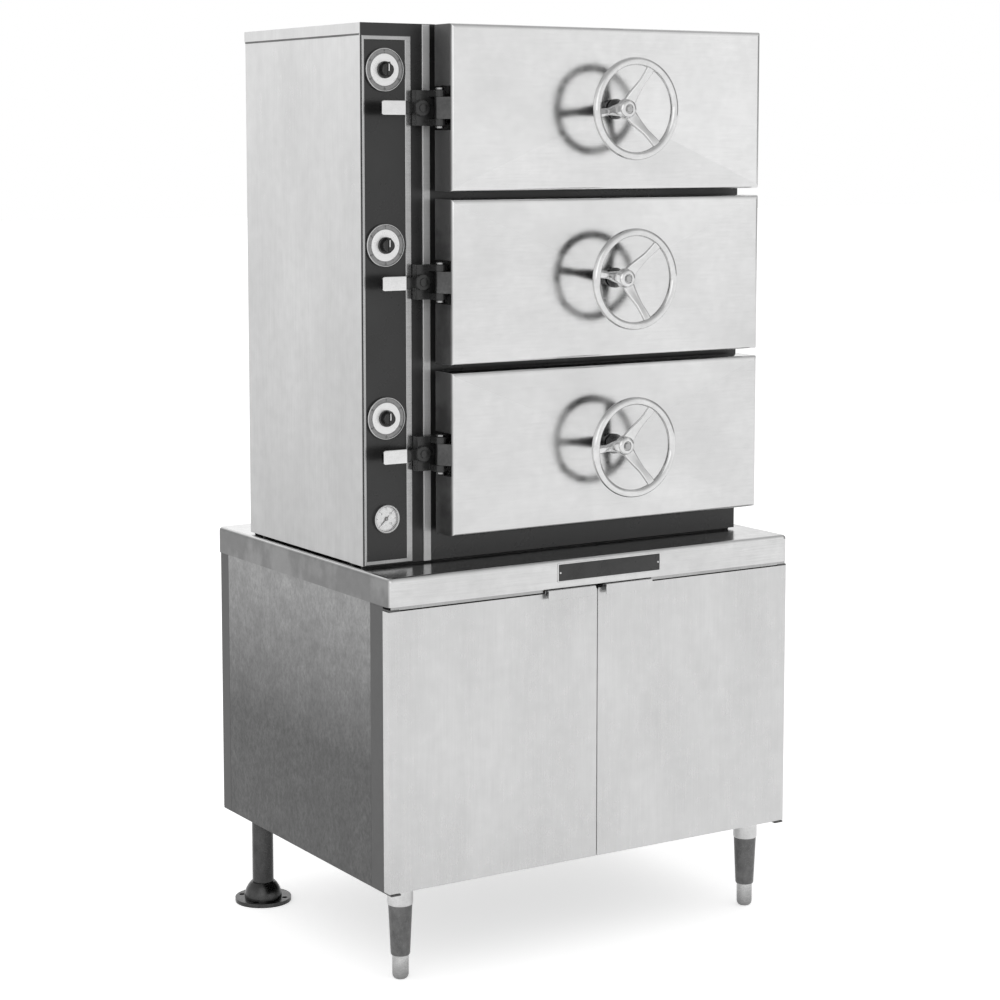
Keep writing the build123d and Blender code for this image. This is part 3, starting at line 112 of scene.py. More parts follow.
def makePiece(name, shells, material, body, smooth=40, replaces=()):
    # one piece from its shells; edges sharper than smooth degrees stay crisp
    points, faces = joinShells(shells)
    mesh = bpy.data.meshes.new(name)
    mesh.from_pydata(points.tolist(), [], faces, shade_flat=False)
    mesh.materials.append(material)
    piece = addObject(name, mesh)
    mesh.set_sharp_from_angle(angle=math.radians(smooth))
    mesh.update()
    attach(piece, body)
    if replaces:
        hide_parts(*replaces)
    return piece


def ringAround(axis, steps):
    # angles t and the unit directions u cos t + v sin t, with u and v at right angles to the axis
    axis = np.asarray(axis, float)
    side = np.array((0.0, 0.0, 1.0)) if abs(axis[2]) < 0.9 else np.array((1.0, 0.0, 0.0))
    u = np.cross(axis, side)
    v = np.cross(axis, u)
    turn = np.linspace(0, 2 * np.pi, steps, endpoint=False)
    return turn, np.cos(turn)[:, None] * u + np.sin(turn)[:, None] * v


def revolve(profile, centre, axis, steps=48):
    # each profile point (radius, height) in mm turns round the axis: centre + height * axis + radius * ring(t)
    profile = np.asarray(profile, float) * mm
    axis = np.asarray(axis, float)
    ring = ringAround(axis, steps)[1]
    return gridShell(np.asarray(centre) + profile[:, None, 1:2] * axis + profile[:, None, 0:1] * ring[None])


def middle(low, high):
    # x and z of the middle of a box
    return (low.x + high.x) / 2, (low.z + high.z) / 2


def smoothStep(t):
    # 3 t^2 - 2 t^3
    return t ** 2 * (3 - 2 * t)


def unitAlong(path):
    # the path's direction at each of its points
    along = np.gradient(path, axis=0)
    return along / np.linalg.norm(along, axis=1)[:, None]


# Materials. Every one reads Object coordinates, and its grain, cross, marks, cloud and peel are sizes in mm.


def toLinear(hexCode):
    # sRGB hex to linear red, green, blue and alpha 1
    values = [int(hexCode[k:k + 2], 16) / 255 for k in (1, 3, 5)]
    return [v / 12.92 if v <= 0.04045 else ((v + 0.055) / 1.055) ** 2.4 for v in values] + [1.0]


def setSockets(tree, node, sockets):
    # each socket takes a value, a hex colour or a link
    for name, value in sockets.items():
        if isinstance(value, bpy.types.NodeSocket):
            tree.links.new(value, node.inputs[name])
        else:
            node.inputs[name].default_value = toLinear(value) if isinstance(value, str) else value


def addNode(tree, kind, sockets=None, output=0, **settings):
    # a node with its settings and sockets; gives back one output
    node = tree.nodes.new("ShaderNode" + kind)
    for name, value in settings.items():
        setattr(node, name, value)
    setSockets(tree, node, sockets or {})
    return node.outputs[output]


def newMaterial(name):
    material = bpy.data.materials.new(name)
    material.use_nodes = True
    tree = material.node_tree
    return material, tree, tree.nodes["Principled BSDF"]


def patternNoise(tree, place, size, detail, rough=0.5):
    # a pattern whose spots are about size millimetres: one size, or three along x, y and z
    scale = 1 / (np.broadcast_to(size, 3) * mm)
    scaled = addNode(tree, "Mapping", {"Vector": place, "Scale": scale.tolist()})
    return addNode(tree, "TexNoise", {"Vector": scaled, "Scale": 1.0, "Detail": detail, "Roughness": rough})


# Sockets of Map Range: one noise lies mostly in noiseSpan, the sum of two in weaveSpan, and the narrow
# blotchSpan gives crisp edges; wear and dulling add to the roughness
noiseSpan = {"From Min": 0.3, "From Max": 0.7}
weaveSpan = {"From Min": 0.7, "From Max": 1.3}
blotchSpan = {"From Min": 0.45, "From Max": 0.55}
wear = {"To Min": -0.03, "To Max": 0.05}
dulling = {"To Max": 0.35}
colours = {"output": 2, "data_type": "RGBA"}  # a Mix node of colours: sockets 0, 6 and 7, output 2
skinDepth = {"grain": 0.02, "peel": 0.05}  # millimetres of bump


def sheetSteel(name, **look):
    # steel sheet or casting: fine grain lines in the roughness and bump, soft handling marks in the colour;
    # tones are the light and dark ground and the grain lines; the height fade is two heights in mm and their
    # tints: painted shade, darker in the lower part
    material, tree, shader = newMaterial(name)
    light, dark, lineTone = look["tones"].split()
    place = addNode(tree, "TexCoord", output="Object")
    grain = patternNoise(tree, place, look["grain"], 4)
    cross = patternNoise(tree, place, look["cross"], 3)
    marks = patternNoise(tree, place, look["marks"], 4, 0.6)
    weave = addNode(tree, "Math", {0: grain, 1: cross}, operation="ADD")
    cloud = addNode(tree, "MapRange", {"Value": marks, **noiseSpan})
    tone = addNode(tree, "Mix", {0: cloud, 6: dark, 7: light}, **colours)
    lines = addNode(tree, "MapRange", {"Value": weave, **weaveSpan, "To Max": look["streak"]})
    tone = addNode(tree, "Mix", {0: lines, 6: tone, 7: lineTone}, **colours)
    low, high = look["rough"]
    brushed = addNode(tree, "MapRange", {"Value": weave, **weaveSpan, "To Min": low, "To Max": high})
    handled = addNode(tree, "MapRange", {"Value": marks, **noiseSpan, **wear})
    rough = addNode(tree, "Math", {0: brushed, 1: handled}, operation="ADD")
    if "fade" in look:
        # painted shade: the tone changes slowly with height, from the darker lower tint to the upper one
        lowZ, highZ, lowTint, highTint = look["fade"]
        height = addNode(tree, "SeparateXYZ", {"Vector": place}, "Z")
        rise = addNode(tree, "MapRange", {"Value": height, "From Min": lowZ * mm, "From Max": highZ * mm})
        tint = addNode(tree, "Mix", {0: rise, 6: lowTint, 7: highTint}, **colours)
        tone = addNode(tree, "Mix", {0: 1.0, 6: tone, 7: tint}, blend_type="MULTIPLY", **colours)
    if "dull" in look:
        # faces turned to one side get more roughness and a blotched darker tone: the tone is painted shade,
        # standing in for the shadow and the dark parts that these faces mirror
        dull = look["dull"]
        normal = addNode(tree, "TexCoord", output="Normal")
        facing = addNode(tree, "SeparateXYZ", {"Vector": normal}, dull["axis"])
        if dull["both"]:
            facing = addNode(tree, "Math", {0: facing}, operation="ABSOLUTE")
        share = addNode(tree, "MapRange", {"Value": facing, "From Min": dull["from"], "From Max": dull["to"]})
        blotches = addNode(tree, "MapRange", {"Value": marks, **blotchSpan})
        skin = addNode(tree, "Mix", {0: blotches, 6: dull["dark"], 7: dull["light"]}, **colours)
        if "deepShade" in dull:
            # painted shade: the parts that lie deepest behind the front are dark all over
            nearY, farY = (y * mm for y in dull["deepShade"])
            depth = addNode(tree, "SeparateXYZ", {"Vector": place}, "Y")
            far = addNode(tree, "MapRange", {"Value": depth, "From Min": nearY, "From Max": farY})
            skin = addNode(tree, "Mix", {0: far, 6: skin, 7: dull["dark"]}, **colours)
        tone = addNode(tree, "Mix", {0: share, 6: tone, 7: skin}, **colours)
        dulled = addNode(tree, "MapRange", {"Value": share, **dulling})
        rough = addNode(tree, "Math", {0: rough, 1: dulled}, operation="ADD")
    bump = {"Height": weave, "Strength": look["bump"], "Distance": skinDepth["grain"] * mm}
    setSockets(tree, shader, {"Base Color": tone, "Roughness": rough, "Normal": addNode(tree, "Bump", bump),
                              "Metallic": look.get("metallic", 1.0)})
    return material


def paintedMetal(name, **look):
    # enamel, paint, rubber or plastic: a coat with orange peel and a slight change of tone and gloss
    material, tree, shader = newMaterial(name)
    light, dark = look["tones"].split()
    place = addNode(tree, "TexCoord", output="Object")
    cloud = patternNoise(tree, place, look["cloud"], 4, 0.6)
    peel = patternNoise(tree, place, look["peel"], 2)
    share = addNode(tree, "MapRange", {"Value": cloud, **noiseSpan})
    tone = addNode(tree, "Mix", {0: share, 6: dark, 7: light}, **colours)
    low, high = look["rough"]
    rough = addNode(tree, "MapRange", {"Value": cloud, **noiseSpan, "To Min": low, "To Max": high})
    bump = {"Height": peel, "Strength": look["bump"], "Distance": skinDepth["peel"] * mm}
    setSockets(tree, shader, {"Base Color": tone, "Roughness": rough, "Normal": addNode(tree, "Bump", bump),
                              "Metallic": look.get("metallic", 0.0)})
    return material


# 18-8 stainless sheet, polished along its length: soft mirror images in front; the side walls are rougher and
# dark grey, their tone a painted reflection of the black fascia beside them; the lower part is a little darker,
# painted shade
doorSteel = sheetSteel(
    "stainless_sheet_polished", tones="#e4e4e4 #d5d5d5 #c7c7c7", streak=0.25, rough=(0.14, 0.2),
    grain=(60, 2.5, 2.5), cross=20, marks=(220, 220, 160), bump=0.05,
    fade=(840, 1500, "#f8f8f8", "#ffffff"),
    dull={"axis": "X", "both": True, "from": 0.55, "to": 0.9, "light": "#747474", "dark": "#5e5e5e"})
# the same sheet with a satin face: the eye sees broad highlights and upright grain; painted shade makes it
# darker low down and lighter at the top
bodySteel = sheetSteel(
    "stainless_sheet_satin", tones="#e8e8e8 #d8d8d8 #c8c8c8", streak=0.25, rough=(0.28, 0.4),
    grain=(2.5, 2.5, 90), cross=25, marks=(120, 160, 400), bump=0.06, fade=(800, 1740, "#d8d8d8", "#ffffff"))
# worktop sheet, rubbed bright by use: long grain and clear reflections at a low angle; the end faces are
# rougher and darker, their dark tone painted shade
worktopSteel = sheetSteel(
    "stainless_worktop_polished", tones="#dcdcdc #cecece #bebebe", streak=0.4, rough=(0.14, 0.24),
    grain=(80, 2.5, 2.5), cross=20, marks=(180, 120, 160), bump=0.08,
    dull={"axis": "X", "both": True, "from": 0.6, "to": 0.9, "light": "#989898", "dark": "#868686"})
# satin door sheet, brushed upright: an even pale grey with no clear mirror image
baseDoorSteel = sheetSteel(
    "stainless_door_satin", tones="#d6d6d6 #c8c8c8 #bcbcbc", streak=0.2, rough=(0.24, 0.36),
    grain=(2.5, 2.5, 90), cross=25, marks=(160, 160, 320), bump=0.05)
# pickled sheet on the sides of the base: dull and blotched; darker towards the floor, painted shade
sideSheet = sheetSteel(
    "pickled_side_sheet", tones="#a9a9a9 #8c8c8c #7e7e7e", streak=0.5, rough=(0.34, 0.5), grain=(5, 9, 14),
    cross=(3, 3, 5), marks=(45, 60, 50), bump=0.25, fade=(400, 690, "#a4a4a4", "#ffffff"))
# hot-dip galvanised sheet: grey with a faint spangle
rearSheet = sheetSteel(
    "galvanised_rear_sheet", tones="#b5b5b5 #999999 #8b8b8b", streak=0.5, rough=(0.38, 0.5),
    grain=(14, 14, 22), cross=9, marks=(40, 40, 50), bump=0.15)
# drawn compartment: brushed walls with the marks of scrubbing
chamberSteel = sheetSteel(
    "drawn_stainless_chamber", tones="#c9c9c9 #b3b3b3 #a3a3a3", streak=0.22, rough=(0.24, 0.36),
    grain=(5, 60, 5), cross=(30, 4, 4), marks=(70, 90, 60), bump=0.05)
# pressed channel, phosphated black: a dark metal with rubbed grey patches
armSteel = sheetSteel(
    "black_phosphated_channel", tones="#626262 #4e4e4e #444444", streak=0.4, rough=(0.3, 0.44),
    grain=(30, 4, 4), cross=5, marks=50, bump=0.1)
# buffed flat bar: the brightest metal on the black column
leverSteel = sheetSteel(
    "stainless_bar_buffed", tones="#e5e5e5 #d9d9d9 #c8c8c8", streak=0.3, rough=(0.14, 0.22),
    grain=(20, 1.5, 1.5), cross=4, marks=25, bump=0.06)
# ground steel: mid grey with fine rings of grinding
pinSteel = sheetSteel(
    "ground_steel_pin", tones="#b0b0b0 #989898 #838383", streak=0.4, rough=(0.22, 0.34),
    grain=(12, 1.5, 1.5), cross=(3, 3, 8), marks=(25, 25, 30), bump=0.06)
# galvanised pipe: dull zinc with cloudy patches
pipeSteel = sheetSteel(
    "galvanised_pipe", tones="#a8a8a8 #8c8c8c #7c7c7c", streak=0.5, rough=(0.38, 0.52), grain=(8, 8, 16),
    cross=5, marks=(40, 40, 50), bump=0.2)
# rolled trim: bright edges, a slightly grey face
brightTrim = sheetSteel(
    "stainless_trim_rolled", tones="#b8b8b8 #a6a6a6 #949494", streak=0.4, rough=(0.18, 0.28),
    grain=(2, 2, 60), cross=(30, 2, 2), marks=(60, 60, 200), bump=0.05)
# rolled post, rubbed matt: a pale upright strip that mirrors little of the dark gap beside it
postSteel = sheetSteel(
    "stainless_post_rolled", tones="#d6d6d6 #c6c6c6 #b0b0b0", streak=0.4, rough=(0.3, 0.42),
    grain=(2, 2, 60), cross=(30, 2, 2), marks=(60, 60, 200), bump=0.05, metallic=0.35)
# buffed casting with nickel and chrome on its front; its back keeps the dull skin of the mould and is painted
# near black: part cast skin, part painted shade and painted reflection, darkest on the parts deepest behind the
# front
wheelChrome = sheetSteel(
    "chromed_wheel_casting", tones="#e4e4e4 #d4d4d4 #c2c2c2", streak=0.3, rough=(0.08, 0.14),
    grain=12, cross=6, marks=85, bump=0.05,
    dull={"axis": "Y", "both": False, "from": 0.15, "to": 0.45, "light": "#d0d0d0", "dark": "#1a1a1a",
          "deepShade": (-362, -354)})
# chrome on turned brass: small bright rings with dark lines beside the highlights
gaugeChrome = sheetSteel(
    "chromed_gauge_case", tones="#c8c8c8 #b4b4b4 #a2a2a2", streak=0.3, rough=(0.1, 0.2), grain=5, cross=3,
    marks=20, bump=0.05)
# turned and anodised aluminium: an even mid grey round the white dial
dialAluminium = sheetSteel(
    "anodised_aluminium_bezel", tones="#969696 #868686 #767676", streak=0.4, rough=(0.3, 0.42),
    grain=(4, 4, 1.5), cross=(1.5, 4, 4), marks=20, bump=0.08)
# sand-cast bronze: warm and rough, brown in its hollows
valveBrass = sheetSteel(
    "cast_bronze_valve", tones="#b9955a #94713c #7e5f30", streak=0.4, rough=(0.34, 0.5), grain=3, cross=5,
    marks=25, bump=0.3)
# zinc plated screws: small cold glints
screwZinc = sheetSteel(
    "zinc_plated_screw", tones="#c1c1c1 #a4a4a4 #8c8c8c", streak=0.4, rough=(0.22, 0.34), grain=2, cross=1,
    marks=8, bump=0.05)
# cast legs: dark metal, its dark tone a painted reflection that stands in for the dark surroundings the bright
# metal mirrors, with a soft light line down the round
legMetal = sheetSteel(
    "cast_leg_dark_painted_reflection", tones="#7c7c7c #636363 #525252", streak=0.4, rough=(0.24, 0.36), grain=(6, 6, 10),
    cross=3, marks=(20, 20, 25), bump=0.15)
# turned collar: pale, with a soft upright highlight
collarMetal = sheetSteel(
    "bright_leg_collar", tones="#dedede #cccccc #b8b8b8", streak=0.3, rough=(0.14, 0.24), grain=(3, 3, 8),
    cross=(8, 8, 2), marks=25, bump=0.06)
# bullet foot: turned and plated, darker towards the tip near the floor, painted shade
footMetal = sheetSteel(
    "plated_bullet_foot", tones="#d6d6d6 #bababa #9e9e9e", streak=0.4, rough=(0.2, 0.32), grain=(8, 8, 1.5),
    cross=3, marks=18, bump=0.08, fade=(0, 40, "#b4b4b4", "#ffffff"))
# blacked steel pipe: dark, with a grey line of light down the round
pipeLegSteel = sheetSteel(
    "black_leg_pipe", tones="#5a5a5a #484848 #3a3a3a", streak=0.4, rough=(0.2, 0.32), grain=(8, 8, 20),
    cross=4, marks=(30, 30, 40), bump=0.12)
# brushed grey paint on welded angle: matt and uneven
frameSteel = paintedMetal(
    "grey_painted_frame", tones="#626262 #4d4d4d", cloud=60, peel=2.5, rough=(0.42, 0.6), bump=0.15)
# stoved enamel on sheet: deep grey-black with a soft gloss and faint peel
blackEnamel = paintedMetal(
    "stoved_black_enamel", tones="#2c2c2c #212121", cloud=90, peel=3, rough=(0.24, 0.34), bump=0.12)
# enamelled casting: black, coarse in the skin, with glints on its edges
bracketEnamel = paintedMetal(
    "black_enamelled_casting", tones="#353535 #222222", cloud=25, peel=1.6, rough=(0.2, 0.34), bump=0.3)
# silver paint on rolled plate: flat grey with clouds of the brush
boilerIron = paintedMetal(
    "silver_painted_boiler", tones="#8d8d8d #717171", cloud=70, peel=3, rough=(0.45, 0.6), bump=0.3)
# moulded rubber: dark grey, nearly without gloss
gasketRubber = paintedMetal(
    "moulded_silicone_rubber", tones="#484848 #383838", cloud=30, peel=1.5, rough=(0.6, 0.75), bump=0.2)
# sealant drawn along the seam: matt grey, darkened by kitchen grease
# a matt grey bead along the seam, a painted shadow: it stands in for the shadow line under the cap's overlap
sealantGrey = paintedMetal(
    "seam_bead_painted_shadow", tones="#858585 #6c6c6c", cloud=40, peel=2, rough=(0.6, 0.75), bump=0.2)
# moulded phenolic: black with a soft, even gloss
knobPlastic = paintedMetal(
    "moulded_phenolic_knob", tones="#2a2a2a #1c1c1c", cloud=12, peel=1, rough=(0.25, 0.38), bump=0.08)
# black paint on a stamped pointer: flat and dark on the pale face
needleBlack = paintedMetal(
    "black_painted_needle", tones="#262626 #191919", cloud=8, peel=1, rough=(0.35, 0.5), bump=0.05)
# white anodised dial plate: pale, with some of the metal's sheen left
dialEnamel = paintedMetal(
    "white_anodised_dial", tones="#f7f7f7 #ececec", cloud=15, peel=2, rough=(0.25, 0.36), bump=0.03,
    metallic=0.6)
# screen-printed ink: matt black, a hair proud of the dial
printInk = paintedMetal(
    "black_dial_ink", tones="#303030 #222222", cloud=4, peel=0.6, rough=(0.45, 0.6), bump=0.05)
# fired enamel on the edge plate: dark grey, a little lighter than the black plate above
plateEnamel = paintedMetal(
    "black_enamelled_plate", tones="#363636 #262626", cloud=30, peel=1.5, rough=(0.24, 0.36), bump=0.12)

# window of the gauge: float glass, clear, with a thin bright reflection and faint wiping marks
window = {"wipe": 6, "Roughness": (0.02, 0.07), "Alpha": (0.07, 0.13), "tint": "#f5f5f5", "ior": 1.5}
glassClear, glassTree, glassShader = newMaterial("float_glass_window")
wiped = patternNoise(glassTree, addNode(glassTree, "TexCoord", output="Object"), window["wipe"], 3)
setSockets(glassTree, glassShader, {"Base Color": window["tint"], "IOR": window["ior"]})
for socket in ("Roughness", "Alpha"):
    low, high = window[socket]
    share = addNode(glassTree, "MapRange", {"Value": wiped, **noiseSpan, "To Min": low, "To Max": high})
    setSockets(glassTree, glassShader, {socket: share})
print("materials made")

# Which nodes each finish is on, where a star stands for each of the three levels
finishNodes = [
    (frameSteel, "base_frame plinth_bearers"), (sideSheet, "base_side_panels"), (worktopSteel, "worktop"),
    (rearSheet, "base_back_panel upper_rear_cover"), (legMetal, "front_legs"), (footMetal, "bullet_feet"),
    (pipeLegSteel, "rear_legs"), (bodySteel, "upper_side_panels upper_top"), (brightTrim, "panel_trim"),
    (blackEnamel, "front_fascia control_panel"), (postSteel, "hinge_post"), (dialAluminium, "timer_bodies"),
    (bracketEnamel, "hinge_brackets latch_keepers"), (gaugeChrome, "gauge_case"), (boilerIron, "boiler"),
    (pipeSteel, "steam_riser drain_manifold"), (valveBrass, "valve_bodies safety_valve safety_lever"),
    (needleBlack, "gauge_needle"), (baseDoorSteel, "base_door_left base_door_right"),
    (doorSteel, "door_cover_*"), (chamberSteel, "pan_racks chamber_* pressure_plate_*"),
    (armSteel, "door_arm_*"), (gasketRubber, "gasket_*"), (pinSteel, "hinge_pins spindle_* latch_bolt_*"),
    (wheelChrome, "handwheel_*"), (knobPlastic, "timer_knob_*"), (leverSteel, "steam_lever_*")]
finishes = {name.replace("*", level): finish for finish, names in finishNodes for name in names.split()
            for level in levels}
for nodeName, finish in finishes.items():
    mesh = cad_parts[nodeName].data
    mesh.materials.clear()
    mesh.materials.append(finish)
print("finishes set, nodes without one:", sorted(set(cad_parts) - set(finishes)))

# Camera, floor, lamps and world

view = {"lens": 85.738, "sensor": 36, "place": (-2.5303, -3.9932, 1.5446), "azimuth": -32.219, "down": 6.195,
        "shift": -0.1, "far": 100}
cameraData = bpy.data.cameras.new("camera")
cameraData.sensor_width = view["sensor"]
cameraData.lens = view["lens"]
cameraData.shift_y = view["shift"]
cameraData.clip_end = view["far"]
camera = addObject("camera", cameraData)
camera.location = view["place"]
camera.rotation_euler = (math.radians(90 - view["down"]), 0, math.radians(view["azimuth"]))
bpy.context.scene.camera = camera
bpy.context.scene.view_settings.view_transform = "Standard"

studio = {"floorRadius": 40.0, "floorColour": "#f0f0f0", "floorRough": 0.9, "floorSpecular": 0.1,
          "floorGlow": 0.6, "floorShown": 0.42, "ambient": 0.7,
          "ceiling": {"axis": "Z", "from": 0.2, "to": 0.9, "shade": 0.5},
          "farRight": {"axis": "X", "from": 0.66, "to": 0.88, "shade": 0.3}}


def rayKinds(tree):
    # camera rays, and rays that show the backdrop in metal and through glass
    direct, glossy, through = (addNode(tree, "LightPath", output=f"Is {kind} Ray")
                               for kind in ("Camera", "Glossy", "Transmission"))
    return direct, addNode(tree, "Math", {0: glossy, 1: through}, operation="ADD", use_clamp=True)


floorMaterial, floorTree, floorShader = newMaterial("matt_studio_floor")
direct, shown = rayKinds(floorTree)
toMetal = addNode(floorTree, "Math", {0: shown, 1: studio["floorShown"]}, operation="MULTIPLY")
glow = addNode(floorTree, "Math", {0: direct, 1: studio["floorGlow"], 2: toMetal}, operation="MULTIPLY_ADD")
setSockets(floorTree, floorShader, {
    "Base Color": studio["floorColour"], "Roughness": studio["floorRough"],
    "Specular IOR Level": studio["floorSpecular"], "Emission Color": "#ffffff", "Emission Strength": glow})
corners = studio["floorRadius"] * np.array([(-1, -1, 0), (1, -1, 0), (1, 1, 0), (-1, 1, 0)], float)
floorMesh = bpy.data.meshes.new("studio_floor")
floorMesh.from_pydata(corners.tolist(), [], [(0, 1, 2, 3)])
floorMesh.materials.append(floorMaterial)
floor = addObject("studio_floor", floorMesh)

# The backdrop is white, 1, to the camera. Metal shows it too, greyer towards the ceiling and the far right.
world = bpy.data.worlds.new("studio_world")
bpy.context.scene.world = world
world.use_nodes = True
worldTree = world.node_tree
direct, shown = rayKinds(worldTree)
shades = []
for part in (studio["ceiling"], studio["farRight"]):
    heading = addNode(worldTree, "TexCoord", output="Generated")
    towards = addNode(worldTree, "SeparateXYZ", {"Vector": heading}, part["axis"])
    span = {"From Min": part["from"], "From Max": part["to"], "To Min": 1, "To Max": part["shade"]}
    shades.append(addNode(worldTree, "MapRange", {"Value": towards, **span}))
backdrop = addNode(worldTree, "Math", {0: shades[0], 1: shades[1]}, operation="MULTIPLY")
inMetal = addNode(worldTree, "MapRange", {"Value": shown, "To Min": studio["ambient"], "To Max": backdrop})
strength = addNode(worldTree, "MapRange", {"Value": direct, "To Min": inMetal, "To Max": 1.0})
setSockets(worldTree, worldTree.nodes["Background"], {"Color": "#ffffff", "Strength": strength})

# Soft square lamps, places and sizes in metres, power in watts, all turned to one point of the object
aim = Vector((0, 0, 0.95))
lamps = {
    "key_softbox": {"place": (-3.4, -3.6, 3.2), "size": 4.0, "power": 22},
    "fill_softbox": {"place": (4.2, -3.0, 3.0), "size": 4.0, "power": 8},
    "back_softbox": {"place": (0.5, 4.4, 3.4), "size": 4.0, "power": 16},
}
for lampName, lamp in lamps.items():
    lampData = bpy.data.lights.new(lampName, "AREA")
    lampData.size = lamp["size"]
    lampData.energy = lamp["power"]
    lampObject = addObject(lampName, lampData)
    lampObject.location = lamp["place"]
    lampObject.rotation_euler = (aim - Vector(lamp["place"])).to_track_quat("-Z", "Y").to_euler()
print("camera, floor and lamps set")

# Shared shapes. Where a list holds mm, revolve or the line that reads it turns them into metres.


def roundedRings(halfWidths, halfHeights, radii, steps):
    # ring k: four quarter circles of radius r, centred at (+-(a - r), +-(b - r)), as (x, z) pairs
    turn = np.linspace(0, 90, steps)
    angle = np.radians(np.concatenate([turn + 90 * quarter for quarter in range(4)]))
    signX = np.repeat([1, -1, -1, 1], steps)
    signZ = np.repeat([1, 1, -1, -1], steps)
    a, b, r = (np.asarray(v, float)[:, None] for v in (halfWidths, halfHeights, radii))
    return np.stack([signX * (a - r) + r * np.cos(angle), signZ * (b - r) + r * np.sin(angle)], -1)


def roundedPlate(centre, halfWidth, halfHeight, thick, corner, bevel, steps=6, bevelSteps=4):
    # a plate that faces -Y: rings of a rounded rectangle from the back face, round the bevel, to the front face
    turn = np.radians(np.linspace(0, 90, bevelSteps))
    inset = np.concatenate([[0, 0], bevel * (1 - np.cos(turn[1:]))])
    depth = np.concatenate([[0], thick - bevel * (1 - np.sin(turn))])
    a = np.concatenate([[0], halfWidth - inset, [0]])
    b = np.concatenate([[0], halfHeight - inset, [0]])
    r = np.concatenate([[0], corner - inset, [0]])
    y = np.concatenate([[0], depth, [thick]])
    rings = roundedRings(a, b, r, steps)
    flatY = np.broadcast_to(centre[1] - y[:, None], rings.shape[:2])
    return gridShell(np.stack([centre[0] + rings[..., 0], flatY, centre[2] + rings[..., 1]], -1))


def sweptBar(path, across, outward, halfWidths, halfThicks, power=0.6, steps=20):
    # a bar along the path, closed at its start and open at its last ring:
    # section w sgn(cos t)|cos t|^p, h sgn(sin t)|sin t|^p
    turn = np.linspace(0, 2 * np.pi, steps, endpoint=False)
    u = np.sign(np.cos(turn)) * np.abs(np.cos(turn)) ** power
    v = np.sign(np.sin(turn)) * np.abs(np.sin(turn)) ** power
    w = np.asarray(halfWidths)[:, None, None] * u[:, None] * np.asarray(across)[:, None, :]
    h = np.asarray(halfThicks)[:, None, None] * v[:, None] * np.asarray(outward)[:, None, :]
    body = np.asarray(path)[:, None, :] + w + h
    tip = np.repeat(np.asarray(path)[:1, None, :], steps, 1)
    return gridShell(np.concatenate([tip, body]))


def straightBar(start, end, across, outward, halfWidth, halfThick, power, rows, steps=16):
    # a swept bar on the straight line from start to end, with one section all along
    return sweptBar(np.linspace(start, end, rows), np.repeat([across], rows, 0), np.repeat([outward], rows, 0),
                    np.full(rows, halfWidth), np.full(rows, halfThick), power, steps)


# radii as shares of half the width across the flats, heights as shares of the head's height
hexRule = {"steps": 24, "washer": 0.25, "shoulder": 0.85, "top": 0.92}


def hexHead(place, axis, flats, height, washer=1.35):
    # hexagon head on a washer: rings of radius r(t) = flats / 2 / cos(t - nearest side), turned about the axis
    turn, ring = ringAround(axis, hexRule["steps"])
    hexagon = 1 / np.cos((turn + np.pi / 6) % (np.pi / 3) - np.pi / 6)
    circle = np.ones(hexRule["steps"])
    thin, shoulder = hexRule["washer"], hexRule["shoulder"]
    rows = [(0, circle, 0), (washer, circle, 0), (washer, circle, thin), (1, hexagon, thin),
            (1, hexagon, shoulder), (hexRule["top"], circle, 1), (0, circle, 1)]
    return gridShell(np.stack([np.asarray(place) + up * height * np.asarray(axis, float)
                               + (r * flats / 2 * form)[:, None] * ring for r, form, up in rows]))


def radialBars(centre, angles, start, end, width, back, front):
    # marks on a dial: each bar spans the radii start..end about the centre, in the plane that faces -Y
    turn = np.radians(angles)[:, None]
    r = np.array([start, end, end, start])[None]
    s = np.array([-1, -1, 1, 1])[None] * width / 2
    x = centre[0] + r * np.cos(turn) - s * np.sin(turn)
    z = centre[1] + r * np.sin(turn) + s * np.cos(turn)
    layers = [np.stack([x, np.full_like(x, y), z], -1) for y in (back, front)]
    points = np.concatenate(layers, 1).reshape(-1, 3)
    sides = np.array([(0, 1, 2, 3), (7, 6, 5, 4), (0, 4, 5, 1), (1, 5, 6, 2), (2, 6, 7, 3), (3, 7, 4, 0)])
    faces = (sides[None] + 8 * np.arange(len(angles))[:, None, None]).reshape(-1, 4)
    return closeShell(points, faces)


numeralShare = 0.7  # a numeral's height as a share of the font's size


def numberShell(words, height, place, y, thick):
    # a printed number: the built-in font as a mesh, laid in the plane that faces -Y with a slight thickness
    curve = bpy.data.curves.new("number", "FONT")
    curve.body = words
    curve.size = height / numeralShare
    curve.extrude = thick / 2
    curve.align_x = "CENTER"
    curve.align_y = "CENTER"
    curve.resolution_u = 3
    holder = addObject("number", curve)
    bpy.context.view_layer.update()
    mesh = bpy.data.meshes.new_from_object(holder.evaluated_get(bpy.context.evaluated_depsgraph_get()))
    work = bmesh.new()
    work.from_mesh(mesh)
    bmesh.ops.remove_doubles(work, verts=work.verts, dist=1e-6)
    bmesh.ops.recalc_face_normals(work, faces=work.faces)
    glyph = np.array([vertex.co[:] for vertex in work.verts])
    faces = [[vertex.index for vertex in face.verts] for face in work.faces]
    work.free()
    bpy.data.objects.remove(holder)
    bpy.data.meshes.remove(mesh)
    points = np.stack([place[0] + glyph[:, 0], y - glyph[:, 2], place[1] + glyph[:, 1]], -1)
    return points, faces


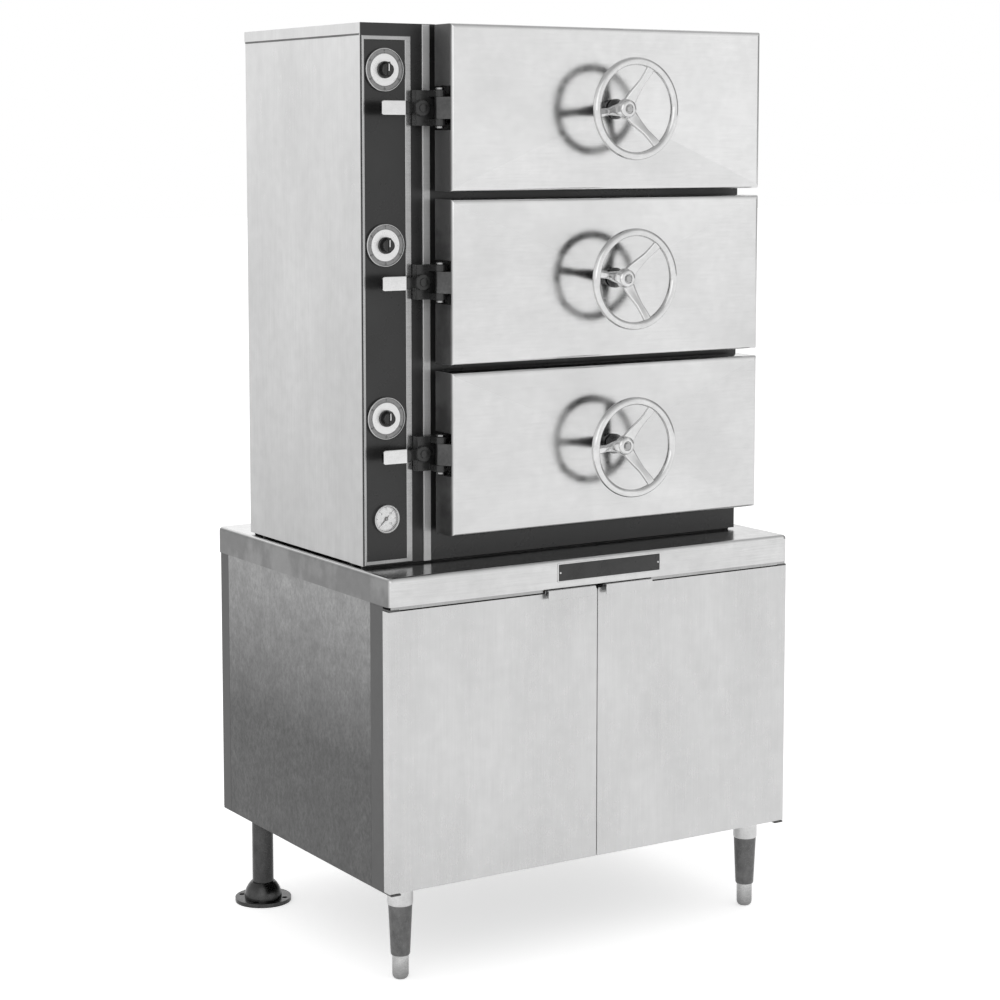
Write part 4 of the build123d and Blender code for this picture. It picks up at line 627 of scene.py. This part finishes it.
def printScale(name, look, centre, faceY):
    # a scale printed clockwise: thin bars at every step, longer and wider ones at every fifth, upright numbers
    turns = look["first"] - look["step"] * np.arange(look["marks"])
    fifths = np.arange(look["marks"]) % 5 == 0
    back, front = (faceY - y * mm for y in look["ink"])
    shells = []
    for chosen, kind in ((~fifths, "minor"), (fifths, "major")):
        start, end, width = (v * mm for v in look[kind])
        shells.append(radialBars(centre, turns[chosen], start, end, width, back, front))
    height, reach, out, thick = (v * mm for v in look["print"])
    for k, words in enumerate(look["numbers"]):
        angle = math.radians(look["first"] - look["numberStep"] * k)
        place = (centre[0] + reach * math.cos(angle), centre[1] + reach * math.sin(angle))
        shells.append(numberShell(words, height, place, faceY - out, thick))
    makePiece(name, shells, printInk, "cabinet", smooth=30)


# Folded sheets and castings: a bend or casting radius in mm rounds the edges. Angles are in degrees.
edgeRule = {"merge": 0.002, "flat": 1, "crisp": 30, "bevelFrom": 35, "segments": 2, "arm": 0.9, "baseDoor": 0.6}
edgeRadius = {
    "base_frame": ("frame_steel", 1.2), "upper_top": ("body_steel", 0.7), "front_fascia": ("black_enamel", 0.8),
    "control_panel": ("black_enamel", 0.4), "hinge_brackets": ("bracket_enamel", 1.8),
    "latch_keepers": ("bracket_enamel", 1.0), "plinth_bearers": ("frame_steel", 0.8),
    "upper_rear_cover": ("rear_sheet", 0.7), "base_side_panels": ("side_sheet", 0.5),
}


def bevelledCopy(node, body, width):
    # the node's own shape with its doubles merged, flat faces joined and its edges rounded
    work = bmesh.new()
    work.from_mesh(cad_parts[node].data)
    bmesh.ops.remove_doubles(work, verts=work.verts, dist=edgeRule["merge"] * mm)
    flat = math.radians(edgeRule["flat"])
    bmesh.ops.dissolve_limit(work, verts=work.verts, edges=work.edges, angle_limit=flat)
    mesh = bpy.data.meshes.new(f"{node}_rounded")
    work.to_mesh(mesh)
    work.free()
    mesh.shade_smooth()
    mesh.set_sharp_from_angle(angle=math.radians(edgeRule["crisp"]))
    mesh.materials.clear()
    mesh.materials.append(finishes[node])
    piece = addObject(f"{node}_rounded", mesh)
    rounding = piece.modifiers.new("edges", "BEVEL")
    rounding.width = width * mm
    rounding.segments = edgeRule["segments"]
    rounding.limit_method = "ANGLE"
    rounding.angle_limit = math.radians(edgeRule["bevelFrom"])
    rounding.harden_normals = True
    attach(piece, body)
    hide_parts(node)


for node, (slot, width) in edgeRadius.items():
    bevelledCopy(node, "cabinet", width)
for level in levels:
    bevelledCopy(f"door_arm_{level}", f"door_{level}", edgeRule["arm"])
for side in ("left", "right"):
    bevelledCopy(f"base_door_{side}", f"base_door_{side}", edgeRule["baseDoor"])
print("edges rounded")

# Meeting edges of the base doors: each sheet ends in a rolled bead, which narrows the slit between them

roll = {"radius": 0.9, "setback": 1.2, "ends": 4.0, "below": 3.0, "pull": 12.0, "gap": 8.5, "rows": 16}
for side in ("left", "right"):
    low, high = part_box(f"base_door_{side}")
    edgeX = high.x if side == "left" else low.x
    beadY = low.y + (roll["pull"] + roll["setback"]) * mm
    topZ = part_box("worktop")[0].z - (roll["gap"] + roll["below"]) * mm
    radius = roll["radius"] * mm
    bead = straightBar((edgeX, beadY, low.z + roll["ends"] * mm), (edgeX, beadY, topZ), (1.0, 0, 0),
                       (0.0, 1, 0), radius, radius, 1.0, roll["rows"])
    makePiece(f"base_door_bead_{side}", [bead], baseDoorSteel, f"base_door_{side}", 60)
print("meeting edges rolled")

# Drip strips under the worktop's front edge, on both sides of the pulls: rolled trim that narrows the gap

drip = {"from": 124.0, "ends": 5.0, "inside": 0.5, "below": 6.0, "setback": 2.1, "halfThick": 0.8, "rows": 16}
low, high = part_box("worktop")
halfTall = (drip["inside"] + drip["below"]) / 2 * mm
dripY = low.y + (drip["setback"] + drip["halfThick"]) * mm
dripZ = low.z + drip["inside"] * mm - halfTall
reachX = high.x - drip["ends"] * mm
strips = [straightBar((side * drip["from"] * mm, dripY, dripZ), (side * reachX, dripY, dripZ), (0.0, 0, 1),
                      (0.0, 1, 0), halfTall, drip["halfThick"] * mm, 0.3, drip["rows"]) for side in (-1, 1)]
makePiece("worktop_drip_strips", strips, brightTrim, "cabinet")
print("drip strips set")

# Compartment door covers: one sheet each, bent at the rim, with four shallow facets up to a small land

cover = {"bend": 8.0, "sheet": 1.5, "peak": 8.0, "landWidth": 60.0, "landHeight": 26.0, "hole": 9.0, "steps": 5,
         "corner": 1.2, "innerCorner": 0.3, "notch": 40.0, "facetRows": 8, "facetAngle": 1, "bendAngle": 40,
         "flatWithin": 0.01}


def doorCover(level):
    # rings (half width, half height, depth, corner radius) from the back edge, round the bend, over the
    # facets to the hole; the inner face follows one sheet behind
    low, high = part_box(f"door_cover_{level}")
    centreX, centreZ = middle(low, high)
    a, b = (high.x - low.x) / 2, (high.z - low.z) / 2
    faceY = low.y + cover["peak"] * mm
    bend, sheet, hole, corner, peak = (cover[k] * mm for k in ("bend", "sheet", "hole", "corner", "peak"))
    landA, landB = (cover[k] / 2 * mm for k in ("landWidth", "landHeight"))
    turn = np.radians(np.linspace(0, 90, cover["steps"]))
    inset = bend * (1 - np.cos(turn))
    share = np.linspace(0, 1, cover["facetRows"] + 1)[1:]
    ringA = np.concatenate([[a], a - inset, (a - bend) + (landA - a + bend) * share, [hole]])
    ringB = np.concatenate([[b], b - inset, (b - bend) + (landB - b + bend) * share, [hole]])
    ringY = np.concatenate([[high.y], faceY + bend * (1 - np.sin(turn)), faceY - peak * share, [low.y]])
    ringR = np.concatenate([[corner] * (1 + len(turn)), corner + (hole - corner) * share ** 3, [hole]])
    walls = []
    for wall in (0, sheet):
        wallA, wallB, wallY = ringA - wall, ringB - wall, ringY + wall
        wallA[-2:], wallB[-2:], wallY[0] = ringA[-2:], ringB[-2:], ringY[0]
        wallR = np.maximum(ringR - wall, cover["innerCorner"] * mm) if wall else ringR
        rings = roundedRings(wallA, wallB, wallR, cover["steps"])
        rings[-1] = roundedRings([hole], [hole], [hole], cover["steps"])[0]
        # four more columns on the left side, at the ends of the hinge notch
        halfway = 2 * cover["steps"]
        edges = np.array([1, 1, -1, -1]) * cover["notch"] * mm / b
        left = np.stack([np.repeat(-wallA[:, None], 4, 1), wallB[:, None] * edges], -1)
        left[-1] = (rings[-1, halfway - 1] + rings[-1, halfway]) / 2
        rings = np.concatenate([rings[:, :halfway], left, rings[:, halfway:]], 1)
        grid = np.stack([centreX + rings[..., 0], np.broadcast_to(wallY[:, None], rings.shape[:2]),
                         centreZ + rings[..., 1]], -1)
        grid[:2, halfway + 1:halfway + 3] = grid[2, halfway + 1:halfway + 3]
        walls.append(grid)
    return gridShell(np.concatenate([walls[0], walls[1][::-1]]), wrapRows=True), faceY


def creaseFacets(mesh, faceY):
    # the facets keep crisp folds, the bend stays smooth
    marks = []
    for angle in (cover["facetAngle"], cover["bendAngle"]):
        mesh.set_sharp_from_angle(angle=math.radians(angle))
        sharp = np.zeros(len(mesh.edges), bool)
        mesh.attributes["sharp_edge"].data.foreach_get("value", sharp)
        marks.append(sharp)
    ends = np.zeros(len(mesh.edges) * 2, np.int32)
    mesh.edges.foreach_get("vertices", ends)
    places = np.zeros(len(mesh.vertices) * 3)
    mesh.vertices.foreach_get("co", places)
    onFacet = (places.reshape(-1, 3)[ends.reshape(-1, 2), 1] < faceY + cover["flatWithin"] * mm).all(1)
    mesh.attributes["sharp_edge"].data.foreach_set("value", np.where(onFacet, marks[0], marks[1]))


for level in levels:
    shell, faceY = doorCover(level)
    skin = makePiece(f"door_skin_{level}", [shell], doorSteel, f"door_{level}",
                     replaces=[f"door_cover_{level}"])
    creaseFacets(skin.data, faceY)
print("door covers made")

# Hand wheels: bright rim and dished spokes, a dark hub between wheel and door, a bright cap with a nut.
# Profiles are (radius, depth behind the hub's face) in mm; hubBack's depths count from the end at the door.

wheel = {"tube": 7.5, "tubeSteps": 25, "hubSetback": 27.0, "spokeRoot": 10.0, "spokeStart": 13.0,
         "spokeRows": 15, "spokeWide": (12.5, 6.5, 8.5), "spokeWideAt": (0, 0.55, 1), "spokeThick": (5.0, 3.6),
         "slope": 0.35, "angles": {"lower": -60, "middle": 51, "upper": -54},
         "cap": [(0, 2.2), (8, 2.2), (8.6, 0.9), (10, 0.2), (13.5, 1.0), (16.5, 3.2), (18.4, 6.5), (19, 10),
                 (19, 15), (17.8, 16.2), (0, 16.2)],
         "hubFront": [(0, 16), (16, 16), (16, 20), (14.5, 24)],
         "hubBack": [(14.5, -14), (18, -7), (19, -3), (19, 0), (9, 0)], "hubBore": [(9, 18), (0, 18)],
         "nutFlats": 12.0, "nutHeight": 3.4, "nutWasher": 1.2, "nutDepth": 2.4}
for level in levels:
    low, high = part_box(f"handwheel_{level}")
    x, z = middle(low, high)
    radius = (high.z - low.z) / 2
    tube, slope = wheel["tube"] * mm, wheel["slope"]
    front = low.y
    hubFace = front + wheel["hubSetback"] * mm
    around = np.radians(np.linspace(0, 360, wheel["tubeSteps"]))
    rim = np.stack([radius + tube * (np.cos(around) - 1), tube * (1 + np.sin(around))], -1) / mm
    shells = [revolve(rim, (x, front, z), (0, 1, 0), steps=96)]
    for k in range(3):
        # the spoke leaves the hub square, dishes forward and meets the middle of the rim
        angle = math.radians(wheel["angles"][level] + 120 * k)
        outward = np.array((math.cos(angle), 0, math.sin(angle)))
        across = np.array((-math.sin(angle), 0, math.cos(angle)))
        share = np.linspace(0, 1, wheel["spokeRows"])
        start, root = wheel["spokeStart"] * mm, hubFace + wheel["spokeRoot"] * mm
        reach = start + (radius - tube - start) * share
        depth = root + (front + tube - root) * (slope * share + (1 - slope) * smoothStep(share))
        path = np.array((x, 0, z)) + reach[:, None] * outward + depth[:, None] * np.array((0, 1, 0))
        wide = np.interp(share, wheel["spokeWideAt"], wheel["spokeWide"]) * mm
        thick = np.interp(share, (0, 1), wheel["spokeThick"]) * mm
        shells.append(sweptBar(path, np.repeat(across[None], wheel["spokeRows"], 0),
                               np.cross(unitAlong(path), across), wide, thick))
    makePiece(f"wheel_rim_{level}", shells, wheelChrome, f"wheel_{level}", smooth=50,
              replaces=[f"handwheel_{level}"])
    cap = revolve(wheel["cap"], (x, hubFace, z), (0, 1, 0), steps=64)
    makePiece(f"wheel_cap_{level}", [cap], wheelChrome, f"wheel_{level}")
    length = (high.y - hubFace) / mm
    profile = wheel["hubFront"] + [(r, length + depth) for r, depth in wheel["hubBack"]] + wheel["hubBore"]
    makePiece(f"wheel_hub_{level}", [revolve(profile, (x, hubFace, z), (0, 1, 0))], bracketEnamel,
              f"wheel_{level}")
    nut = hexHead((x, hubFace + wheel["nutDepth"] * mm, z), (0, -1, 0), wheel["nutFlats"] * mm,
                  wheel["nutHeight"] * mm, wheel["nutWasher"])
    makePiece(f"wheel_nut_{level}", [nut], screwZinc, f"wheel_{level}", smooth=25)
print("hand wheels made")

# Steam levers: a bright flat grip set forward, a neck that slopes back, a dark hub with its bolt, the shaft

lever = {"hub": 15.0, "grip": 8.0, "thick": 3.0, "neckFrom": 13.0, "neckTo": 38.0, "boss": 3.0, "bright": 50.0,
         "rows": 60, "steps": 28, "wideAt": (0, 14, 38, 90), "wide": (11, 10.5, 13, 13), "tip": 5.0,
         "tipShare": 0.72, "gripPower": 0.25, "neckPower": 0.4, "neckWide": 0.86, "neckThick": 0.96,
         "overlap": 2, "shaft": 4,
         "hubProfile": [(0, -2.6), (5, -2.6), (7.6, -2), (8, -1.2), (8, -0.4), (13.6, -0.4), (15, 0.8), (15, 6),
                        (4, 6)]}
for level in levels:
    low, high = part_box(f"steam_lever_{level}")
    hubX, z = high.x - lever["hub"] * mm, middle(low, high)[1]
    front = low.y + lever["boss"] * mm
    reach = hubX - low.x
    # the bar's middle line: level at the hub, then forward by the grip's offset, as a smooth step
    run = reach * np.linspace(0, 1, lever["rows"])
    step = np.clip((run / mm - lever["neckFrom"]) / (lever["neckTo"] - lever["neckFrom"]), 0, 1)
    forward = lever["grip"] * mm * smoothStep(step)
    path = np.stack([hubX - run, front + lever["thick"] * mm - forward, np.full(lever["rows"], z)], -1)
    tip = np.clip((reach - run) / (lever["tip"] * mm), 0, 1)
    rounded = lever["tipShare"] + (1 - lever["tipShare"]) * np.sqrt(1 - (1 - tip) ** 2)
    wide = np.interp(run / mm, lever["wideAt"], lever["wide"]) * rounded * mm
    thick = np.full(lever["rows"], lever["thick"] * mm)
    across = np.repeat(np.array([(0.0, 0, 1)]), lever["rows"], 0)
    outward = np.cross(unitAlong(path), across)
    # the polished grip ends where the black neck takes hold of it
    split = int(np.searchsorted(run, reach - lever["bright"] * mm))
    grip, neck = slice(split, None), slice(None, split + lever["overlap"])
    bar = sweptBar(path[grip], across[grip], outward[grip], wide[grip], thick[grip], lever["gripPower"],
                   lever["steps"])
    sleeve = sweptBar(path[neck], across[neck], outward[neck], wide[neck] * lever["neckWide"],
                      thick[neck] * lever["neckThick"], lever["neckPower"], lever["steps"])
    makePiece(f"lever_bar_{level}", [bar], leverSteel, f"lever_{level}",
              replaces=[f"steam_lever_{level}"])
    makePiece(f"lever_neck_{level}", [sleeve], bracketEnamel, f"lever_{level}")
    back = (high.y - front) / mm
    hub = revolve(lever["hubProfile"] + [(lever["shaft"], back), (0, back)], (hubX, front, z), (0, 1, 0))
    makePiece(f"lever_hub_{level}", [hub], bracketEnamel, f"lever_{level}", smooth=35)
print("levers made")

# Timer dials: white ring, scale on the grey bezel, grip line on the knob. In mm: minor and major are a mark's
# start and end radius and its width, ink its back and front ahead of the face, and print the numbers' height,
# radius, place ahead of the face and thickness

dial = {"ahead": 0.3,
        "ring": [(15.5, -0.1), (29, -0.1), (29, 0.6), (28.6, 1), (15.5, 1), (15.5, -0.1)],
        "lip": [(36.6, 0), (39, 0), (39, 1.4), (38.4, 2), (37.4, 2), (36.8, 1.2), (36.6, 0)], "lipSunk": 0.1,
        "first": 90, "step": 6.0, "marks": 60, "minor": (29.6, 31.0, 0.4), "major": (29.6, 31.8, 0.8),
        "ink": (-0.1, 0.2), "print": (3.4, 34.2, 0.05, 0.3), "numberStep": 60,
        "numbers": ["0", "10", "20", "30", "40", "50"], "lineUp": 4, "lineSunk": 0.4}
gripLine = {"halfWidth": 0.9, "halfHeight": 6.5, "thick": 0.5, "corner": 0.8, "bevel": 0.2}
for level in levels:
    low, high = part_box(f"timer_knob_{level}")
    x, z = (low.x + high.x) / 2, high.z - (high.x - low.x) / 2
    faceY = high.y + dial["ahead"] * mm
    ring = revolve(dial["ring"], (x, faceY, z), (0, -1, 0), steps=64)
    makePiece(f"dial_ring_{level}", [ring], dialEnamel, "cabinet")
    lip = revolve(dial["lip"], (x, faceY + dial["lipSunk"] * mm, z), (0, -1, 0), steps=64)
    makePiece(f"dial_lip_{level}", [lip], gaugeChrome, "cabinet")
    printScale(f"dial_scale_{level}", dial, (x, z), faceY)
    line = roundedPlate((x, low.y + dial["lineSunk"] * mm, z + dial["lineUp"] * mm),
                        **{key: size * mm for key, size in gripLine.items()}, steps=4)
    makePiece(f"knob_line_{level}", [line], dialEnamel, f"knob_{level}")
print("dials made")

# Pressure gauge: printed face, domed bezel ring, window. Values as for the dials.

gauge = {"face": [(1.8, 0), (23.2, 0), (23.2, 0.4), (1.8, 0.4), (1.8, 0)], "behindNeedle": 0.8,
         "bezel": [(22.6, 0.5), (25.4, 0.5), (26, 1.2), (26, 2.6), (25.2, 3.4), (23.4, 3.4), (22.6, 2.4),
                   (22.6, 0.5)],
         "bezelSunk": 3.0, "pane": [(0, 0), (22.5, 0), (22.5, 1), (0, 1)], "paneSunk": 2.2,
         "first": 225, "step": 9.0, "marks": 31, "minor": (20.5, 21.8, 0.35), "major": (17.5, 21.8, 0.8),
         "ink": (0.35, 0.55), "print": (4.5, 13.2, 0.45, 0.2), "numberStep": 90,
         "numbers": ["0", "5", "10", "15"]}
low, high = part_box("gauge_case")
x, z = middle(low, high)
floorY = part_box("gauge_needle")[1].y + gauge["behindNeedle"] * mm
face = revolve(gauge["face"], (x, floorY, z), (0, -1, 0), steps=64)
makePiece("gauge_face", [face], dialEnamel, "cabinet")
printScale("gauge_scale", gauge, (x, z), floorY)
bezel = revolve(gauge["bezel"], (x, low.y + gauge["bezelSunk"] * mm, z), (0, -1, 0), steps=64)
makePiece("gauge_bezel", [bezel], gaugeChrome, "cabinet")
pane = revolve(gauge["pane"], (x, low.y + gauge["paneSunk"] * mm, z), (0, -1, 0))
makePiece("gauge_window", [pane], glassClear, "cabinet")
print("gauge made")

# Bare plate on the worktop edge: black enamel in a narrow bright border, with a rivet at each end

plate = {"from": -94.0, "to": 143.0, "low": 723.0, "high": 759.0, "thick": 1.6, "border": 2.2, "sunk": 0.1,
         "corner": 2, "bevel": 0.5, "fieldSunk": 0.3, "fieldThick": 0.6, "fieldCorner": 1, "fieldBevel": 0.2,
         "rivet": [(0, 0), (2.2, 0), (2.0, 0.6), (1.2, 1.1), (0, 1.3)], "rivetIn": 6, "rivetAhead": 1.8}
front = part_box("worktop")[0].y
x, z = (plate["from"] + plate["to"]) / 2 * mm, (plate["low"] + plate["high"]) / 2 * mm
halfWidth, halfHeight = (plate["to"] - plate["from"]) / 2 * mm, (plate["high"] - plate["low"]) / 2 * mm
border = plate["border"] * mm
back = roundedPlate((x, front + plate["sunk"] * mm, z), halfWidth, halfHeight, plate["thick"] * mm,
                    plate["corner"] * mm, plate["bevel"] * mm)
makePiece("edge_plate_border", [back], collarMetal, "cabinet")
field = roundedPlate((x, front - (plate["thick"] - plate["fieldSunk"]) * mm, z), halfWidth - border,
                     halfHeight - border, plate["fieldThick"] * mm, plate["fieldCorner"] * mm,
                     plate["fieldBevel"] * mm)
makePiece("edge_plate_field", [field], plateEnamel, "cabinet")
rivetX, rivetY = halfWidth - plate["rivetIn"] * mm, front - plate["rivetAhead"] * mm
rivets = [revolve(plate["rivet"], (x + side * rivetX, rivetY, z), (0, -1, 0), steps=16) for side in (-1, 1)]
makePiece("edge_plate_rivets", rivets, collarMetal, "cabinet")

# Front legs: bright collar, tapered socket whose dark tone is a painted reflection, as (radius, height) in mm

legs = {"radius": 24.0, "collar": [(0, 178), (24, 178), (24, 145), (23.2, 142.8), (22.5, 142), (0, 142)],
        "socket": [(0, 142), (22.5, 142), (18.3, 49), (17.5, 46.6), (16, 46), (0, 46)]}
low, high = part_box("front_legs")
legX, legY = high.x - legs["radius"] * mm, (low.y + high.y) / 2
sockets, collars = ([revolve(legs[form], (side * legX, legY, 0), (0, 0, 1)) for side in (-1, 1)]
                    for form in ("socket", "collar"))
makePiece("front_leg_sockets", sockets, legMetal, "cabinet", replaces=["front_legs"])
makePiece("front_leg_collars", collars, collarMetal, "cabinet")
print("plate and legs made")

# Screws: hexagon heads on washers, where sheets and keepers are bolted down

screw = {"flats": 7.0, "height": 3.2, "coverSheet": 1.5, "coverIn": 7, "coverEnds": 30, "coverRows": 6,
         "backIn": 12, "backEnds": 10, "backColumns": 6, "clear": 0.2, "keeperFlats": 6, "keeperHeight": 3,
         "keeperFlange": 6, "keeperSpan": 27}
flats, tall = screw["flats"] * mm, screw["height"] * mm
low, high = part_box("upper_rear_cover")
coverY = low.y + screw["coverSheet"] * mm
rows = np.linspace(low.z + screw["coverEnds"] * mm, high.z - screw["coverEnds"] * mm, screw["coverRows"])
heads = [hexHead((screwX, coverY, screwZ), (0, 1, 0), flats, tall)
         for screwX in (low.x + screw["coverIn"] * mm, high.x - screw["coverIn"] * mm) for screwZ in rows]
makePiece("rear_cover_screws", heads, screwZinc, "cabinet", smooth=25)
low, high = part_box("base_back_panel")
room = cadBox[1][1] - high.y - screw["clear"] * mm
columns = np.linspace(low.x + screw["backIn"] * mm, high.x - screw["backIn"] * mm, screw["backColumns"])
heads = [hexHead((screwX, high.y, screwZ), (0, 1, 0), flats, min(tall, room))
         for screwX in columns for screwZ in (low.z + screw["backEnds"] * mm, high.z - screw["backEnds"] * mm)]
makePiece("back_panel_screws", heads, screwZinc, "cabinet", smooth=25)
low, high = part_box("latch_keepers")
keeperX, keeperY = (low.x + high.x) / 2, high.y - screw["keeperFlange"] * mm
heads = []
for level in levels:
    z = middle(*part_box(f"handwheel_{level}"))[1]
    heads += [hexHead((keeperX, keeperY, z + side * screw["keeperSpan"] * mm), (0, -1, 0),
                      screw["keeperFlats"] * mm, screw["keeperHeight"] * mm) for side in (-1, 1)]
makePiece("keeper_screws", heads, screwZinc, "cabinet", smooth=25)
print("screws made")

# Seam below the cap: a grey bead along both sides, a painted shadow for the shadow line of the cap's overlap; z
# constant, x on the outer face of the side panel

seam = {"below": 21.2, "halfHeight": 1.7, "proud": 0.5, "ends": 3.0, "rows": 12}
low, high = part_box("upper_side_panels")
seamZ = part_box("upper_top")[1].z - seam["below"] * mm
beads = [straightBar((faceX, low.y + seam["ends"] * mm, seamZ), (faceX, high.y - seam["ends"] * mm, seamZ),
                     (0.0, 0, 1), (1.0, 0, 0), seam["halfHeight"] * mm, seam["proud"] * mm, 0.8, seam["rows"])
         for faceX in (low.x, high.x)]
makePiece("cap_seam_shadow_beads", beads, sealantGrey, "cabinet")
print("seam made")
